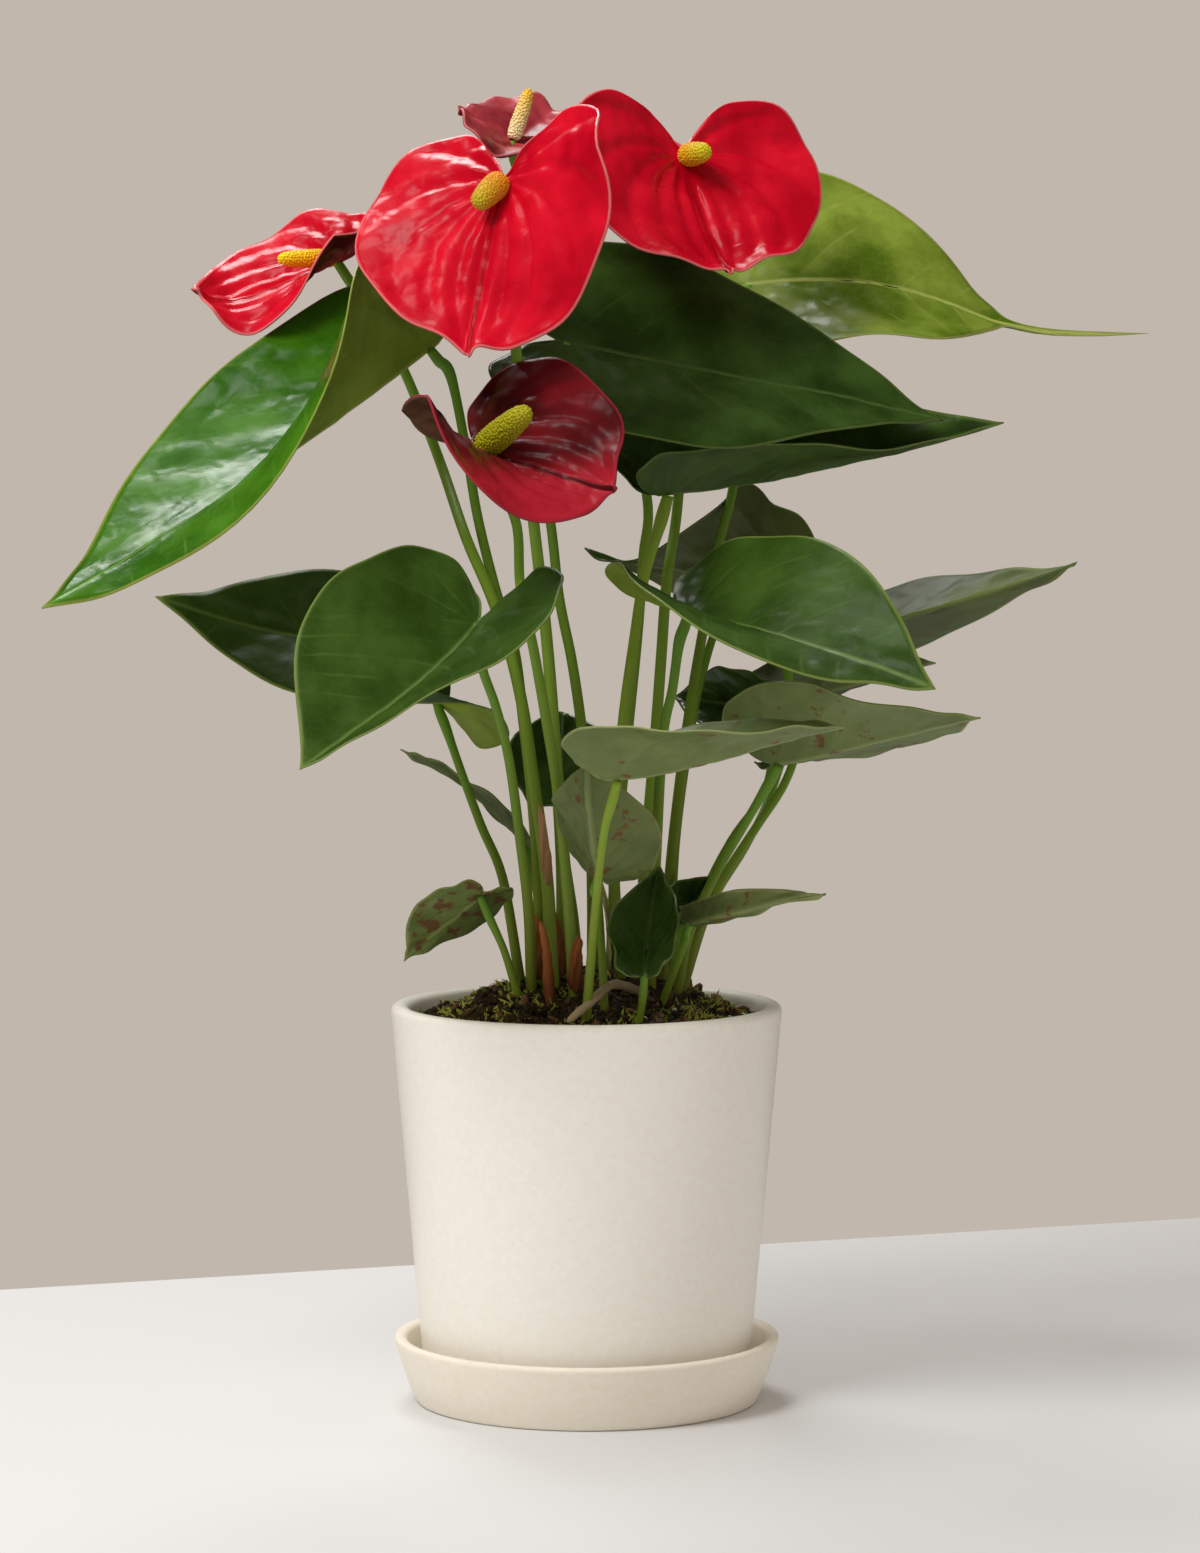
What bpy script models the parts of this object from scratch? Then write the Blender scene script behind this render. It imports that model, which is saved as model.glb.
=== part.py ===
"""Potted anthurium: a flowering plant in a glazed pot that stands on a saucer.

The part's frame has +Z up, X to the right and Y to the back. Its origin is the middle of the
saucer's flat underside. Every size below is in millimetres and degrees, and MM turns it to metres.
"""

from collections import namedtuple

import bmesh
import bpy
import numpy as np

MM = 0.001

# Clearances between pieces that touch
FIT = 0.3

# Saucer
SAUCER_HEIGHT = 21.8
SAUCER_FOOT_RADIUS = 57.0
SAUCER_FLARE_RADIUS = 60.0
SAUCER_RIM_RADIUS = 64.7
SAUCER_WALL = 4.4
SAUCER_FLOOR = 6.0
SAUCER_FOOT_RISE = 1.4

# Pot
POT_HEIGHT = 126.3
POT_BASE_RADIUS = 54.0
POT_RIM_RADIUS = 65.2
POT_WALL = 6.2
POT_FLOOR = 6.0
POT_RIM_ROUND = 2.9
DRAIN_RADIUS = 6.0

# Soil
SOIL_BELOW_RIM = 5.0
SOIL_MOUND = 14.5
SOCKET_DEPTH = 3.0
SOCKET_RISE = 5.0
SOCKET_SIDES = 12

# Plant
BLADE_THICK = 0.8
SPATHE_THICK = 0.9
NECK = 10.0
STRAIGHT_END = 1.5
END_LEAN = 60.0
SPADIX_SWELL = (
    (0.0, 0.55), (0.08, 0.90), (0.3, 1.0), (0.55, 0.93), (0.8, 0.80), (0.93, 0.62), (1.0, 0.30),
)
"""(share of the spadix's length, share of its radius)"""

# Mesh fineness
TURN_STEPS = 32
STEM_SPAN_POINTS = 2
SMALL_LEAF = 50.0
SPATHE_GRID = (24, 3)
LEAF_GRID = (20, 3)
SMALL_LEAF_GRID = (16, 2)

SAUCER_FLOOR_TOP = SAUCER_FLOOR
POT_BASE_Z = SAUCER_FLOOR_TOP + FIT
POT_RIM_Z = POT_BASE_Z + POT_HEIGHT
SOIL_EDGE_Z = POT_RIM_Z - SOIL_BELOW_RIM

# Half outlines from the notch round one lobe to the tip: (share of length, share of width)
LEAF_OUTLINE = (
    (-0.03, 0.0), (-0.13, 0.07), (-0.20, 0.20), (-0.13, 0.36), (0.06, 0.46),
    (0.28, 0.50), (0.52, 0.43), (0.76, 0.24), (0.90, 0.09), (1.0, 0.0),
)
SPATHE_OUTLINE = (
    (-0.03, 0.0), (-0.17, 0.07), (-0.34, 0.22), (-0.27, 0.40), (0.02, 0.50),
    (0.38, 0.46), (0.70, 0.31), (0.91, 0.11), (1.0, 0.0),
)

Blade = namedtuple(
    "Blade",
    "attach tip turned tilt width left right bend cup_left cup_right opens lobe curl sweep twist drip",
    defaults=(0,) * 10,
)
"""attach and tip are places above the pot's rim. The upper side looks to the front, turned to the
right by turned and up by tilt. left and right fold the two halves up from the midrib, and opens is
the share of that fold that is lost by the tip. bend droops the midrib and cup curls each half.
lobe, curl and sweep lift the lobes, drop the tip and swing the tip sideways, in millimetres.
twist turns the tip and drip is the share of the length that is a thin tail."""

Stem = namedtuple("Stem", "foot via thick thin")
"""foot is the place on the soil, via the places above the pot's rim that the stem passes, and thick
and thin its radius at the soil and under the blade."""

Spadix = namedtuple("Spadix", "tip radius")
"""tip is a place above the pot's rim."""

FLOWERS = {
    "front": (
        Blade(
            attach=(-27, -30, 270), tip=(-37, -65, 213), turned=-12, tilt=29,
            width=95, left=28, right=-16,
            bend=2, cup_left=12, cup_right=2, opens=0.8, lobe=-2, curl=-5, sweep=4, twist=-15,
        ),
        Stem(
            foot=(-8, -6), thick=2.6, thin=2.0,
            via=[(-8, -8, 46), (-10, -11, 82), (-13, -14, 122), (-17, -30, 160), (-21, -34, 197), (-24, -38, 236)],
        ),
        Spadix(tip=(-35, -42, 262), radius=4.6),
    ),
    "right": (
        Blade(
            attach=(33, 34, 282), tip=(48, -7, 242), turned=11, tilt=35,
            width=90, left=-1, right=25,
            bend=-14, cup_left=-1, cup_right=-8, opens=0.9, lobe=2, curl=-4, sweep=2, twist=-1,
        ),
        Stem(
            foot=(17, 12), thick=2.4, thin=1.9,
            via=[(20, 14, 51), (23, 17, 87), (25, 19, 114), (27, 21, 141), (31, 36, 168), (35, 35, 235)],
        ),
        Spadix(tip=(40, 19, 283), radius=4.2),
    ),
    "rear": (
        Blade(
            attach=(-25, 25, 287), tip=(-43, 27, 297), turned=28, tilt=68,
            width=61, left=3, right=13,
            bend=23, cup_left=4, cup_right=4, opens=0.4, lobe=7, curl=2, twist=8,
        ),
        Stem(
            foot=(8, 16), thick=2.2, thin=1.8,
            via=[(10, 17, 50), (14, 18, 91), (17, 19, 121), (19, 20, 148), (20, 21, 170), (8, 22, 221), (-11, 24, 258)],
        ),
        Spadix(tip=(-19, 25, 304), radius=2.8),
    ),
    "left": (
        Blade(
            attach=(-85, 47, 248), tip=(-132, 24, 238), turned=-11, tilt=57,
            width=63, left=49, right=4,
            bend=-18, cup_left=-2, cup_right=-2, opens=1.4, lobe=-3, curl=-11, sweep=7, twist=-4,
        ),
        Stem(
            foot=(-11, -16), thick=2.6, thin=1.9,
            via=[(-13, -14, 43), (-17, -11, 72), (-21, -8, 99), (-26, -6, 120), (-32, -4, 137), (-40, 3, 155), (-50, 36, 181), (-62, 39, 211), (-74, 46, 231)],
        ),
        Spadix(tip=(-104, 35, 248), radius=3.4),
    ),
    "young": (
        Blade(
            attach=(-33, -61, 183), tip=(10, -84, 171), turned=10, tilt=27,
            width=79, left=0, right=70,
            bend=17, cup_left=6, cup_right=11, opens=1.1, lobe=-2, curl=-3, sweep=1, twist=1,
        ),
        Stem(
            foot=(-4, -22), thick=2.3, thin=1.8,
            via=[(-6, -26, 37), (-9, -33, 71), (-13, -38, 97), (-17, -43, 120), (-21, -48, 139), (-22, -53, 159), (-27, -56, 171)],
        ),
        Spadix(tip=(-18, -78, 196), radius=4.8),
    ),
}

LEAVES = {
    "upper_left": (
        Blade(
            attach=(-52, 12, 217), tip=(-170, -88, 134), turned=-45, tilt=42,
            width=103, left=100, right=17,
            bend=-8, cup_left=-23, cup_right=20, opens=1.3, curl=1, sweep=-2, twist=1,
        ),
        Stem(
            foot=(-15, -6), thick=2.4, thin=1.8,
            via=[(-16, -4, 42), (-18, -2, 69), (-21, 0, 95), (-24, 2, 118), (-30, 4, 137), (-36, 6, 161), (-40, 9, 184), (-45, 11, 208)],
        ),
    ),
    "upper_middle": (
        Blade(
            attach=(-6, -3, 219), tip=(119, 19, 193), turned=58, tilt=46,
            width=92, left=32, right=-3,
            bend=-2, cup_left=-4, cup_right=-13, opens=0.3, lobe=-5, curl=3, sweep=1, twist=-12,
        ),
        Stem(
            foot=(2, 4), thick=2.3, thin=1.8,
            via=[(2, 4, 35), (1, 2, 68), (-2, 1, 95), (-5, 0, 115), (-9, -1, 135), (-12, -3, 161), (-18, -5, 194)],
        ),
    ),
    "upper_right": (
        Blade(
            attach=(56, 79, 241), tip=(197, 99, 225), turned=5, tilt=51,
            width=99, left=14, right=-11,
            bend=65, cup_left=4, cup_right=37, curl=-32, sweep=-8, twist=-25, drip=0.28,
        ),
        Stem(
            foot=(25, 18), thick=2.3, thin=1.8,
            via=[(29, 25, 50), (34, 33, 90), (39, 39, 120), (45, 44, 152), (50, 49, 172), (53, 60, 202)],
        ),
    ),
    "upper_under": (
        Blade(
            attach=(27, 0, 169), tip=(140, 25, 193), turned=41, tilt=21,
            width=64, left=-9, right=108,
            bend=-40, cup_left=-20, cup_right=-9, opens=0.3, lobe=9, curl=1, twist=3,
        ),
        Stem(
            foot=(11, -2), thick=2.4, thin=2.0,
            via=[(9, -2, 52), (12, -1, 92), (16, -1, 122), (19, 0, 141), (24, 0, 158)],
        ),
    ),
    "front_left": (
        Blade(
            attach=(-35, -58, 128), tip=(-87, -127, 86), turned=-67, tilt=44,
            width=88, left=-2, right=64,
            bend=-17, cup_left=-6, cup_right=11, opens=0.3, lobe=2, curl=3, sweep=-5, twist=-3,
        ),
        Stem(
            foot=(-18, -16), thick=2.2, thin=1.7,
            via=[(-19, -22, 34), (-22, -31, 61), (-25, -39, 84), (-29, -46, 101), (-33, -51, 113)],
        ),
    ),
    "back_left": (
        Blade(
            attach=(-50, 14, 100), tip=(-141, -18, 136), turned=7, tilt=42,
            width=73, left=62, right=-9,
            bend=65, cup_left=-8, cup_right=9, opens=1.4, lobe=-8, curl=-14, sweep=-1, twist=7,
        ),
        Stem(
            foot=(-22, 6), thick=2.1, thin=1.6,
            via=[(-28, 8, 41), (-35, 10, 58), (-41, 11, 74), (-47, 13, 91)],
        ),
    ),
    "front_right": (
        Blade(
            attach=(33, -40, 131), tip=(108, -109, 110), turned=-22, tilt=49,
            width=76, left=6, right=65,
            bend=20, cup_left=8, cup_right=2, opens=0.8, lobe=-1, curl=2, sweep=8, twist=4,
        ),
        Stem(
            foot=(21, -8), thick=2.4, thin=1.8,
            via=[(23, -17, 53), (25, -27, 90), (28, -32, 106), (30, -37, 121)],
        ),
    ),
    "rear_middle": (
        Blade(
            attach=(68, 70, 141), tip=(-1, 54, 150), turned=127, tilt=45,
            width=63, left=92, right=-6,
            bend=-16, cup_left=9, cup_right=5, opens=1.4, lobe=1, curl=-1, sweep=-1, twist=-15,
        ),
        Stem(
            foot=(28, 30), thick=2.0, thin=1.6,
            via=[(30, 40, 48), (35, 48, 85), (40, 54, 109), (47, 63, 126)],
        ),
    ),
    "rear_right": (
        Blade(
            attach=(69, 44, 116), tip=(164, 12, 146), turned=133, tilt=13,
            width=51, left=62, right=69,
            bend=-40, cup_left=-4, cup_right=-2, lobe=13, curl=-4, twist=2,
        ),
        Stem(
            foot=(32, 6), thick=2.0, thin=1.6,
            via=[(37, 10, 22), (45, 15, 39), (57, 21, 57), (67, 26, 72), (71, 32, 86)],
        ),
    ),
    "rear_low_right": (
        Blade(
            attach=(68, 63, 98), tip=(119, 51, 112), turned=149, tilt=32,
            width=37, left=48, right=-9,
            bend=-40, cup_left=10, cup_right=-6, lobe=6, curl=1, sweep=4, twist=17,
        ),
        Stem(
            foot=(32, 22), thick=1.8, thin=1.5,
            via=[(42, 31, 30), (54, 39, 49), (63, 58, 65), (69, 67, 83)],
        ),
    ),
    "inner_right": (
        Blade(
            attach=(65, 50, 95), tip=(30, 77, 98), turned=-16, tilt=29,
            width=34, left=34, right=67,
            bend=-4, cup_left=6, cup_right=10, opens=0.2, lobe=3, sweep=1, twist=-2,
        ),
        Stem(
            foot=(29, 36), thick=1.7, thin=1.4,
            via=[(39, 37, 31), (49, 40, 51), (60, 32, 68), (64, 34, 85)],
        ),
    ),
    "side_right": (
        Blade(
            attach=(63, -20, 81), tip=(127, -46, 98), turned=-159, tilt=63,
            width=69, left=19, right=46,
            bend=-6, cup_left=-1, cup_right=-15, opens=0.9, lobe=3, curl=1, sweep=2, twist=5,
        ),
        Stem(
            foot=(30, -6), thick=2.0, thin=1.7,
            via=[(34, -8, 24), (42, -12, 43), (51, -15, 59), (59, -18, 73)],
        ),
    ),
    "front_long": (
        Blade(
            attach=(10, -82, 80), tip=(81, -94, 98), turned=-15, tilt=78,
            width=64, left=8, right=63,
            bend=-16, cup_left=5, cup_right=-25, opens=0.6, lobe=5, curl=3, sweep=1, twist=2,
        ),
        Stem(
            foot=(0, -44), thick=1.9, thin=1.5,
            via=[(2, -54, 25), (4, -69, 48), (6, -77, 64)],
        ),
    ),
    "front_spotted": (
        Blade(
            attach=(4, -47, 47), tip=(1, -61, 86), turned=161, tilt=30,
            width=44, left=29, right=43,
            bend=-19, cup_left=-2, cup_right=3, opens=0.4, lobe=4, curl=-4, twist=1,
        ),
        Stem(
            foot=(6, -38), thick=1.7, thin=1.4,
            via=[(5, -37, 22), (4, -37, 37)],
        ),
    ),
    "front_dark": (
        Blade(
            attach=(19, -48, 16), tip=(24, -23, 48), turned=-14, tilt=10,
            width=30, left=48, right=34,
            bend=-10, cup_left=2, cup_right=8, opens=0.2, lobe=5, sweep=-4, twist=-6,
        ),
        Stem(
            foot=(17, -44), thick=1.4, thin=1.2,
            via=[(18, -45, 4)],
        ),
    ),
    "low_right": (
        Blade(
            attach=(34, -35, 30), tip=(76, -77, 43), turned=136, tilt=35,
            width=15, left=45, right=43,
            bend=-24, cup_left=5, lobe=6, curl=3, sweep=6, twist=9,
        ),
        Stem(
            foot=(25, -22), thick=1.6, thin=1.3,
            via=[(32, -30, 23)],
        ),
    ),
    "low_inner": (
        Blade(
            attach=(32, 12, 26), tip=(42, 27, 41), turned=-20, tilt=20,
            width=22, left=62, right=49,
            bend=-6, cup_left=2, cup_right=7, lobe=4, curl=-3, sweep=-5, twist=-2,
        ),
        Stem(
            foot=(27, 4), thick=1.5, thin=1.3,
            via=[(31, 8, 18)],
        ),
    ),
    "low_left": (
        Blade(
            attach=(-35, -22, 38), tip=(-60, -11, 15), turned=-162, tilt=40,
            width=32, left=-6, right=20,
            bend=12, cup_left=1, cup_right=-4, opens=0.2, lobe=-2, curl=3, sweep=6, twist=1,
        ),
        Stem(
            foot=(-22, -22), thick=1.7, thin=1.3,
            via=[(-27, -22, 20)],
        ),
    ),
    "rear_left": (
        Blade(
            attach=(-21, 28, 52), tip=(-64, 48, 81), turned=-180, tilt=78,
            width=37, left=20, right=-8,
            bend=13, cup_left=-3, cup_right=-7, opens=0.4, curl=3, sweep=1, twist=-3,
        ),
        Stem(
            foot=(-13, 22), thick=1.6, thin=1.3,
            via=[(-15, 24, 23), (-18, 26, 39)],
        ),
    ),
    "rear_inner": (
        Blade(
            attach=(-9, 45, 65), tip=(-9, 71, 94), turned=-7, tilt=19,
            width=43, left=41, right=26,
            bend=3, cup_left=1, cup_right=2, opens=0.1, lobe=3, twist=2,
        ),
        Stem(
            foot=(-2, 34), thick=1.6, thin=1.3,
            via=[(-4, 37, 25), (-7, 41, 45)],
        ),
    ),
}

ROOTS = {
    "aerial_root": Stem(
        foot=(12, -34), thick=1.6, thin=1.2,
        via=[(10, -47, 12), (2, -52, 9), (-6, -54, 1)],
    ),
    "dry_sheath": Stem(
        foot=(-12, -26), thick=2.2, thin=0.8,
        via=[(-13, -27, 20), (-15, -28, 30)],
    ),
}



def lay_metres(points):
    """Metres from millimetres."""
    return [tuple(float(value) * MM for value in point) for point in points]


def unit(vector):
    """The vector at length one."""
    vector = np.asarray(vector, float)
    return vector / np.linalg.norm(vector)


def smooth_line(points, count):
    """count places along a Catmull-Rom curve through the points."""
    points = np.asarray(points, float)
    ends = (2 * points[0] - points[1], 2 * points[-1] - points[-2])
    points = np.vstack([ends[0], points, ends[1]])
    spans = len(points) - 3
    along = np.linspace(0, spans, count)
    first = np.minimum(along.astype(int), spans - 1)
    part = (along - first)[:, None]
    a, b, c, d = (points[first + step] for step in range(4))
    cubic = 3 * b - a - 3 * c + d
    square = 2 * a - 5 * b + 4 * c - d
    return 0.5 * (2 * b + (c - a) * part + square * part**2 + cubic * part**3)


def arc(distance, start, turn):
    """Place reached after distance along an arc that leaves at angle start and turns by turn per unit."""
    chord = distance * np.sinc(turn * distance / (2 * np.pi))
    middle = start + turn * distance / 2
    return chord * np.cos(middle), chord * np.sin(middle)


def bent(blade, length, along, across):
    """Where a place on the flat blade lies once the blade is folded, cupped, bent and twisted."""
    share = np.clip(along / length, 0, 1)
    turn = -np.radians(blade.bend) / length
    mid_x, mid_z = arc(along, 0.0, turn)
    pitch = turn * along
    on_left = across >= 0
    fold = np.radians(np.where(on_left, blade.left, blade.right)) * (1 - blade.opens * share)
    cup = np.radians(np.where(on_left, blade.cup_left, blade.cup_right)) / (blade.width / 2)
    side, rise = arc(np.abs(across), fold, cup)
    side = np.where(on_left, side, -side)
    rise = rise + blade.lobe * np.clip(-along / (0.22 * length), 0, 1.2) ** 2
    rise = rise - blade.curl * np.clip(along / length - 0.6, 0, 1) ** 2 / 0.16
    twist = np.radians(blade.twist) * along / length
    level = side * np.cos(twist) - rise * np.sin(twist) + blade.sweep * share**2
    rise = side * np.sin(twist) + rise * np.cos(twist)
    return np.stack([mid_x - rise * np.sin(pitch), level, mid_z + rise * np.cos(pitch)], -1)


def axes(forward, upward):
    """Rows: forward, left and up, with up as near to upward as forward allows."""
    forward = unit(forward)
    upward = unit(np.asarray(upward, float) - np.dot(upward, forward) * forward)
    return np.stack([forward, np.cross(upward, forward), upward])


def blade_place(blade):
    """The blade's length along its midrib, and the turn from its own axes to the part's."""
    reach = np.subtract(blade.tip, blade.attach)
    length = np.linalg.norm(reach)
    for _ in range(8):
        tip = bent(blade, length, np.array(length), np.array(0.0))
        length *= np.linalg.norm(reach) / np.linalg.norm(tip)
    turned, tilt = np.radians(blade.turned), np.radians(blade.tilt)
    looks = (np.cos(tilt) * np.sin(turned), -np.cos(tilt) * np.cos(turned), np.sin(tilt))
    return length, axes(tip, (0.0, 0.0, 1.0)).T @ axes(reach, looks)


def above_rim(points):
    """Places above the pot's rim as places in the part."""
    return np.asarray(points, float) + (0.0, 0.0, POT_RIM_Z)


def blade_normal(blade):
    """The way the upper side looks where the stem joins."""
    length, turn = blade_place(blade)
    near = 0.01
    origin, ahead, left, right = bent(
        blade, length, np.array([0, near, 0, 0]), np.array([0, 0, near, -near])
    )
    return unit(np.cross(ahead - origin, left - right) @ turn)


def soil_height(x, y):
    """Height of the soil's mound at a place, in the part's millimetres."""
    share = min(np.hypot(x, y) / soil_radius(), 1.0)
    return SOIL_EDGE_Z + SOIL_MOUND * np.cos(share * np.pi / 2) ** 1.3


def soil_radius():
    """Radius of the soil's upper edge, which follows the pot's inner wall."""
    return pot_inner_radius(SOIL_EDGE_Z) - FIT


def pot_inner_radius(height):
    """Radius of the pot's inner wall at a height."""
    share = (height - POT_BASE_Z) / POT_HEIGHT
    return POT_BASE_RADIUS + (POT_RIM_RADIUS - POT_BASE_RADIUS) * share - POT_WALL


def material(name, colour, roughness, metallic=0.0):
    """A plain material for one piece."""
    made = bpy.data.materials.get(name) or bpy.data.materials.new(name)
    made.use_nodes = True
    made.diffuse_color = (*colour, 1.0)
    surface = made.node_tree.nodes["Principled BSDF"]
    surface.inputs["Base Color"].default_value = (*colour, 1.0)
    surface.inputs["Roughness"].default_value = roughness
    surface.inputs["Metallic"].default_value = metallic
    return made


def collection(name, hidden=False):
    """A new collection in the scene."""
    made = bpy.data.collections.new(name)
    made.hide_render = hidden
    bpy.context.scene.collection.children.link(made)
    return made


def add_object(name, data, group, surface):
    """An object in the group with its material, smooth where it is round."""
    made = bpy.data.objects.new(name, data)
    group.objects.link(made)
    if surface:
        data.materials.append(surface)
    return made


def finish_mesh(shape, name):
    """A mesh from a bmesh, with its doubles merged and its faces turned outwards."""
    bmesh.ops.remove_doubles(shape, verts=shape.verts, dist=0.00001)
    bmesh.ops.recalc_face_normals(shape, faces=shape.faces)
    mesh = bpy.data.meshes.new(name)
    shape.to_mesh(mesh)
    shape.free()
    mesh.shade_smooth()
    return mesh


def turned(name, profile, group, surface):
    """A turned piece from a closed profile of (radius, height), which runs down the outer side."""
    mesh = bpy.data.meshes.new(name)
    points = [(radius, 0.0, height) for radius, height in profile]
    count = len(points)
    mesh.from_pydata(lay_metres(points), [(i, (i + 1) % count) for i in range(count)], [])
    made = add_object(name, mesh, group, surface)
    screw = made.modifiers.new("Turn", "SCREW")
    screw.steps = TURN_STEPS
    screw.render_steps = TURN_STEPS
    screw.use_merge_vertices = True
    screw.merge_threshold = 0.00001
    screw.use_smooth_shade = True
    return made


def rounded_rim(outer, inner, top, radius, steps=4):
    """Profile points over a rim, from its inner side to its outer side."""
    points = []
    for step in range(steps + 1):
        angle = np.pi / 2 * step / steps
        points.append((inner + radius * (1 - np.cos(angle)), top - radius * (1 - np.sin(angle))))
    for step in range(steps + 1):
        angle = np.pi / 2 * step / steps
        points.append((outer - radius * (1 - np.sin(angle)), top - radius * (1 - np.cos(angle))))
    return points


def build_saucer(group):
    """The saucer: a flat foot, a flared wall with a round rim and a flat floor for the pot."""
    glaze = material("saucer_glaze", (0.80, 0.72, 0.56), 0.55)
    rim_round = SAUCER_WALL / 2 - 0.2
    rim = rounded_rim(
        SAUCER_RIM_RADIUS, SAUCER_RIM_RADIUS - SAUCER_WALL, SAUCER_HEIGHT, rim_round
    )
    profile = [(0.0, SAUCER_FLOOR), (SAUCER_FLARE_RADIUS - SAUCER_WALL, SAUCER_FLOOR)]
    profile += rim
    profile += [
        (SAUCER_FLARE_RADIUS, SAUCER_FOOT_RISE),
        (SAUCER_FOOT_RADIUS, SAUCER_FOOT_RISE),
        (SAUCER_FOOT_RADIUS - 1.0, 0.0),
        (0.0, 0.0),
    ]
    return turned("saucer", profile, group, glaze)


def build_pot(group):
    """The pot: a tapered wall with a round rim, a floor and a drain hole."""
    glaze = material("pot_glaze", (0.86, 0.79, 0.66), 0.5)
    rim = rounded_rim(POT_RIM_RADIUS, POT_RIM_RADIUS - POT_WALL, POT_RIM_Z, POT_RIM_ROUND)
    floor_top = POT_BASE_Z + POT_FLOOR
    profile = [(DRAIN_RADIUS, floor_top), (pot_inner_radius(floor_top), floor_top)]
    profile += rim
    profile += [
        (POT_BASE_RADIUS, POT_BASE_Z + 1.5),
        (POT_BASE_RADIUS - 1.5, POT_BASE_Z),
        (DRAIN_RADIUS, POT_BASE_Z),
    ]
    return turned("pot", profile, group, glaze)


def build_soil(group, sockets):
    """The soil: it fills the pot, rises to a mound and has a socket for each stem."""
    earth = material("soil", (0.045, 0.030, 0.020), 0.95)
    bottom = POT_BASE_Z + POT_FLOOR + FIT
    mound = []
    for share in np.linspace(0, 1, 8):
        radius = share * soil_radius()
        mound.append((radius, soil_height(radius, 0.0)))
    profile = mound + [(pot_inner_radius(bottom) - FIT, bottom), (0.0, bottom)]
    soil = turned("soil", profile, group, earth)
    cut = soil.modifiers.new("Sockets", "BOOLEAN")
    cut.operation = "DIFFERENCE"
    cut.operand_type = "COLLECTION"
    cut.collection = sockets
    cut.solver = "EXACT"
    return soil


def stem_foot(stem):
    """Where the stem meets the soil."""
    x, y = stem.foot
    return np.array([x, y, soil_height(x, y)])


def stem_lean(stem):
    """The way the stem leaves the soil."""
    return unit(above_rim(stem.via[0]) - stem_foot(stem))


def ring(centre, run, radius):
    """Places on a circle about a run."""
    _, first, second = axes(run, (0.3, 0.9, 0.3))
    angle = np.linspace(0, 2 * np.pi, 12, endpoint=False)[:, None]
    return centre + radius * (np.cos(angle) * first + np.sin(angle) * second)


def surface_over(near, normal, points):
    """How far the blade's surface stands over places near its joint, along its normal there."""
    frame = axes(normal, (0.3, 0.9, 0.3)).T
    rise, *flat = (near @ frame).T
    height, *level = (points @ frame).T
    angle = np.arctan2(*flat)
    order = np.argsort(angle)
    slope = (rise / np.maximum(np.hypot(*flat), 1.0))[order]
    over = np.interp(np.arctan2(*level), angle[order], slope, period=2 * np.pi)
    return over * np.hypot(*level) - height


def stem_end(blade, stem, thick, near):
    """Where the stem ends under the blade, and the way it runs there."""
    joint, normal = above_rim(blade.attach), blade_normal(blade)
    run = unit(joint - above_rim(stem.via[-1]))
    level = run - (run @ normal) * normal
    lean = min(np.arccos(run @ normal), np.radians(END_LEAN))
    run = np.cos(lean) * normal + np.sin(lean) * level / max(np.linalg.norm(level), 1e-6)
    rings = [ring(-run * back, run, stem.thin) for back in (0.0, 1.5, 4.0)]
    under = surface_over(near, normal, np.vstack(rings))
    return joint + normal * (under.min() - thick * 0.8 - FIT), run


def stem_line(blade, stem, thick, near):
    """Places along a stem, from its socket to just under its blade."""
    foot, lean = stem_foot(stem), stem_lean(stem)
    top, run = stem_end(blade, stem, thick, near)
    via = [above_rim(point) for point in stem.via]
    neck = top - run * min(NECK, 0.4 * np.linalg.norm(top - via[-1]))
    near_top = top - run * STRAIGHT_END
    line = [foot - lean * SOCKET_DEPTH, foot + lean * SOCKET_RISE, *via, neck, near_top]
    return np.vstack([smooth_line(line, STEM_SPAN_POINTS * (len(line) - 1) + 1), top])


def tube(name, line, radii, sides, group, surface):
    """A tube along a line, with a radius at each place and closed ends."""
    curve = bpy.data.curves.new(name, "CURVE")
    curve.dimensions = "3D"
    curve.bevel_depth = MM
    curve.bevel_resolution = (sides - 4) // 2
    curve.use_fill_caps = True
    spline = curve.splines.new("POLY")
    spline.points.add(len(line) - 1)
    for point, place, radius in zip(spline.points, lay_metres(line), radii):
        point.co = (*place, 1.0)
        point.radius = radius
    return add_object(name, curve, group, surface)


def build_socket(name, stem, sockets):
    """The cutter for a stem's socket, which leans as the stem does."""
    foot, lean = stem_foot(stem), stem_lean(stem)
    length = SOCKET_DEPTH + FIT + 2 * SOCKET_RISE
    wide = (stem.thick + FIT) / np.cos(np.pi / SOCKET_SIDES)
    shape = bmesh.new()
    bmesh.ops.create_cone(
        shape, cap_ends=True, segments=SOCKET_SIDES, radius1=wide, radius2=wide, depth=length
    )
    turn = axes(lean, (0.0, 1.0, 0.0))
    middle = foot + lean * (length / 2 - SOCKET_DEPTH - FIT)
    for vertex in shape.verts:
        x, y, z = vertex.co
        vertex.co = lay_metres([np.array([z, x, y]) @ turn + middle])[0]
    cutter = add_object(name + "_socket", finish_mesh(shape, name + "_socket"), sockets, None)
    cutter.hide_render = True
    cutter.display_type = "WIRE"


def build_stem(name, blade, stem, thick, near, group, sockets, surface):
    """A stem, thickest at the soil, and the cutter for its socket."""
    line = stem_line(blade, stem, thick, near)
    share = np.linspace(0, 1, len(line))
    radii = stem.thin + (stem.thick - stem.thin) * (1 - share) ** 1.5
    tube(name, line, radii, 8, group, surface)
    build_socket(name, stem, sockets)


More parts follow.
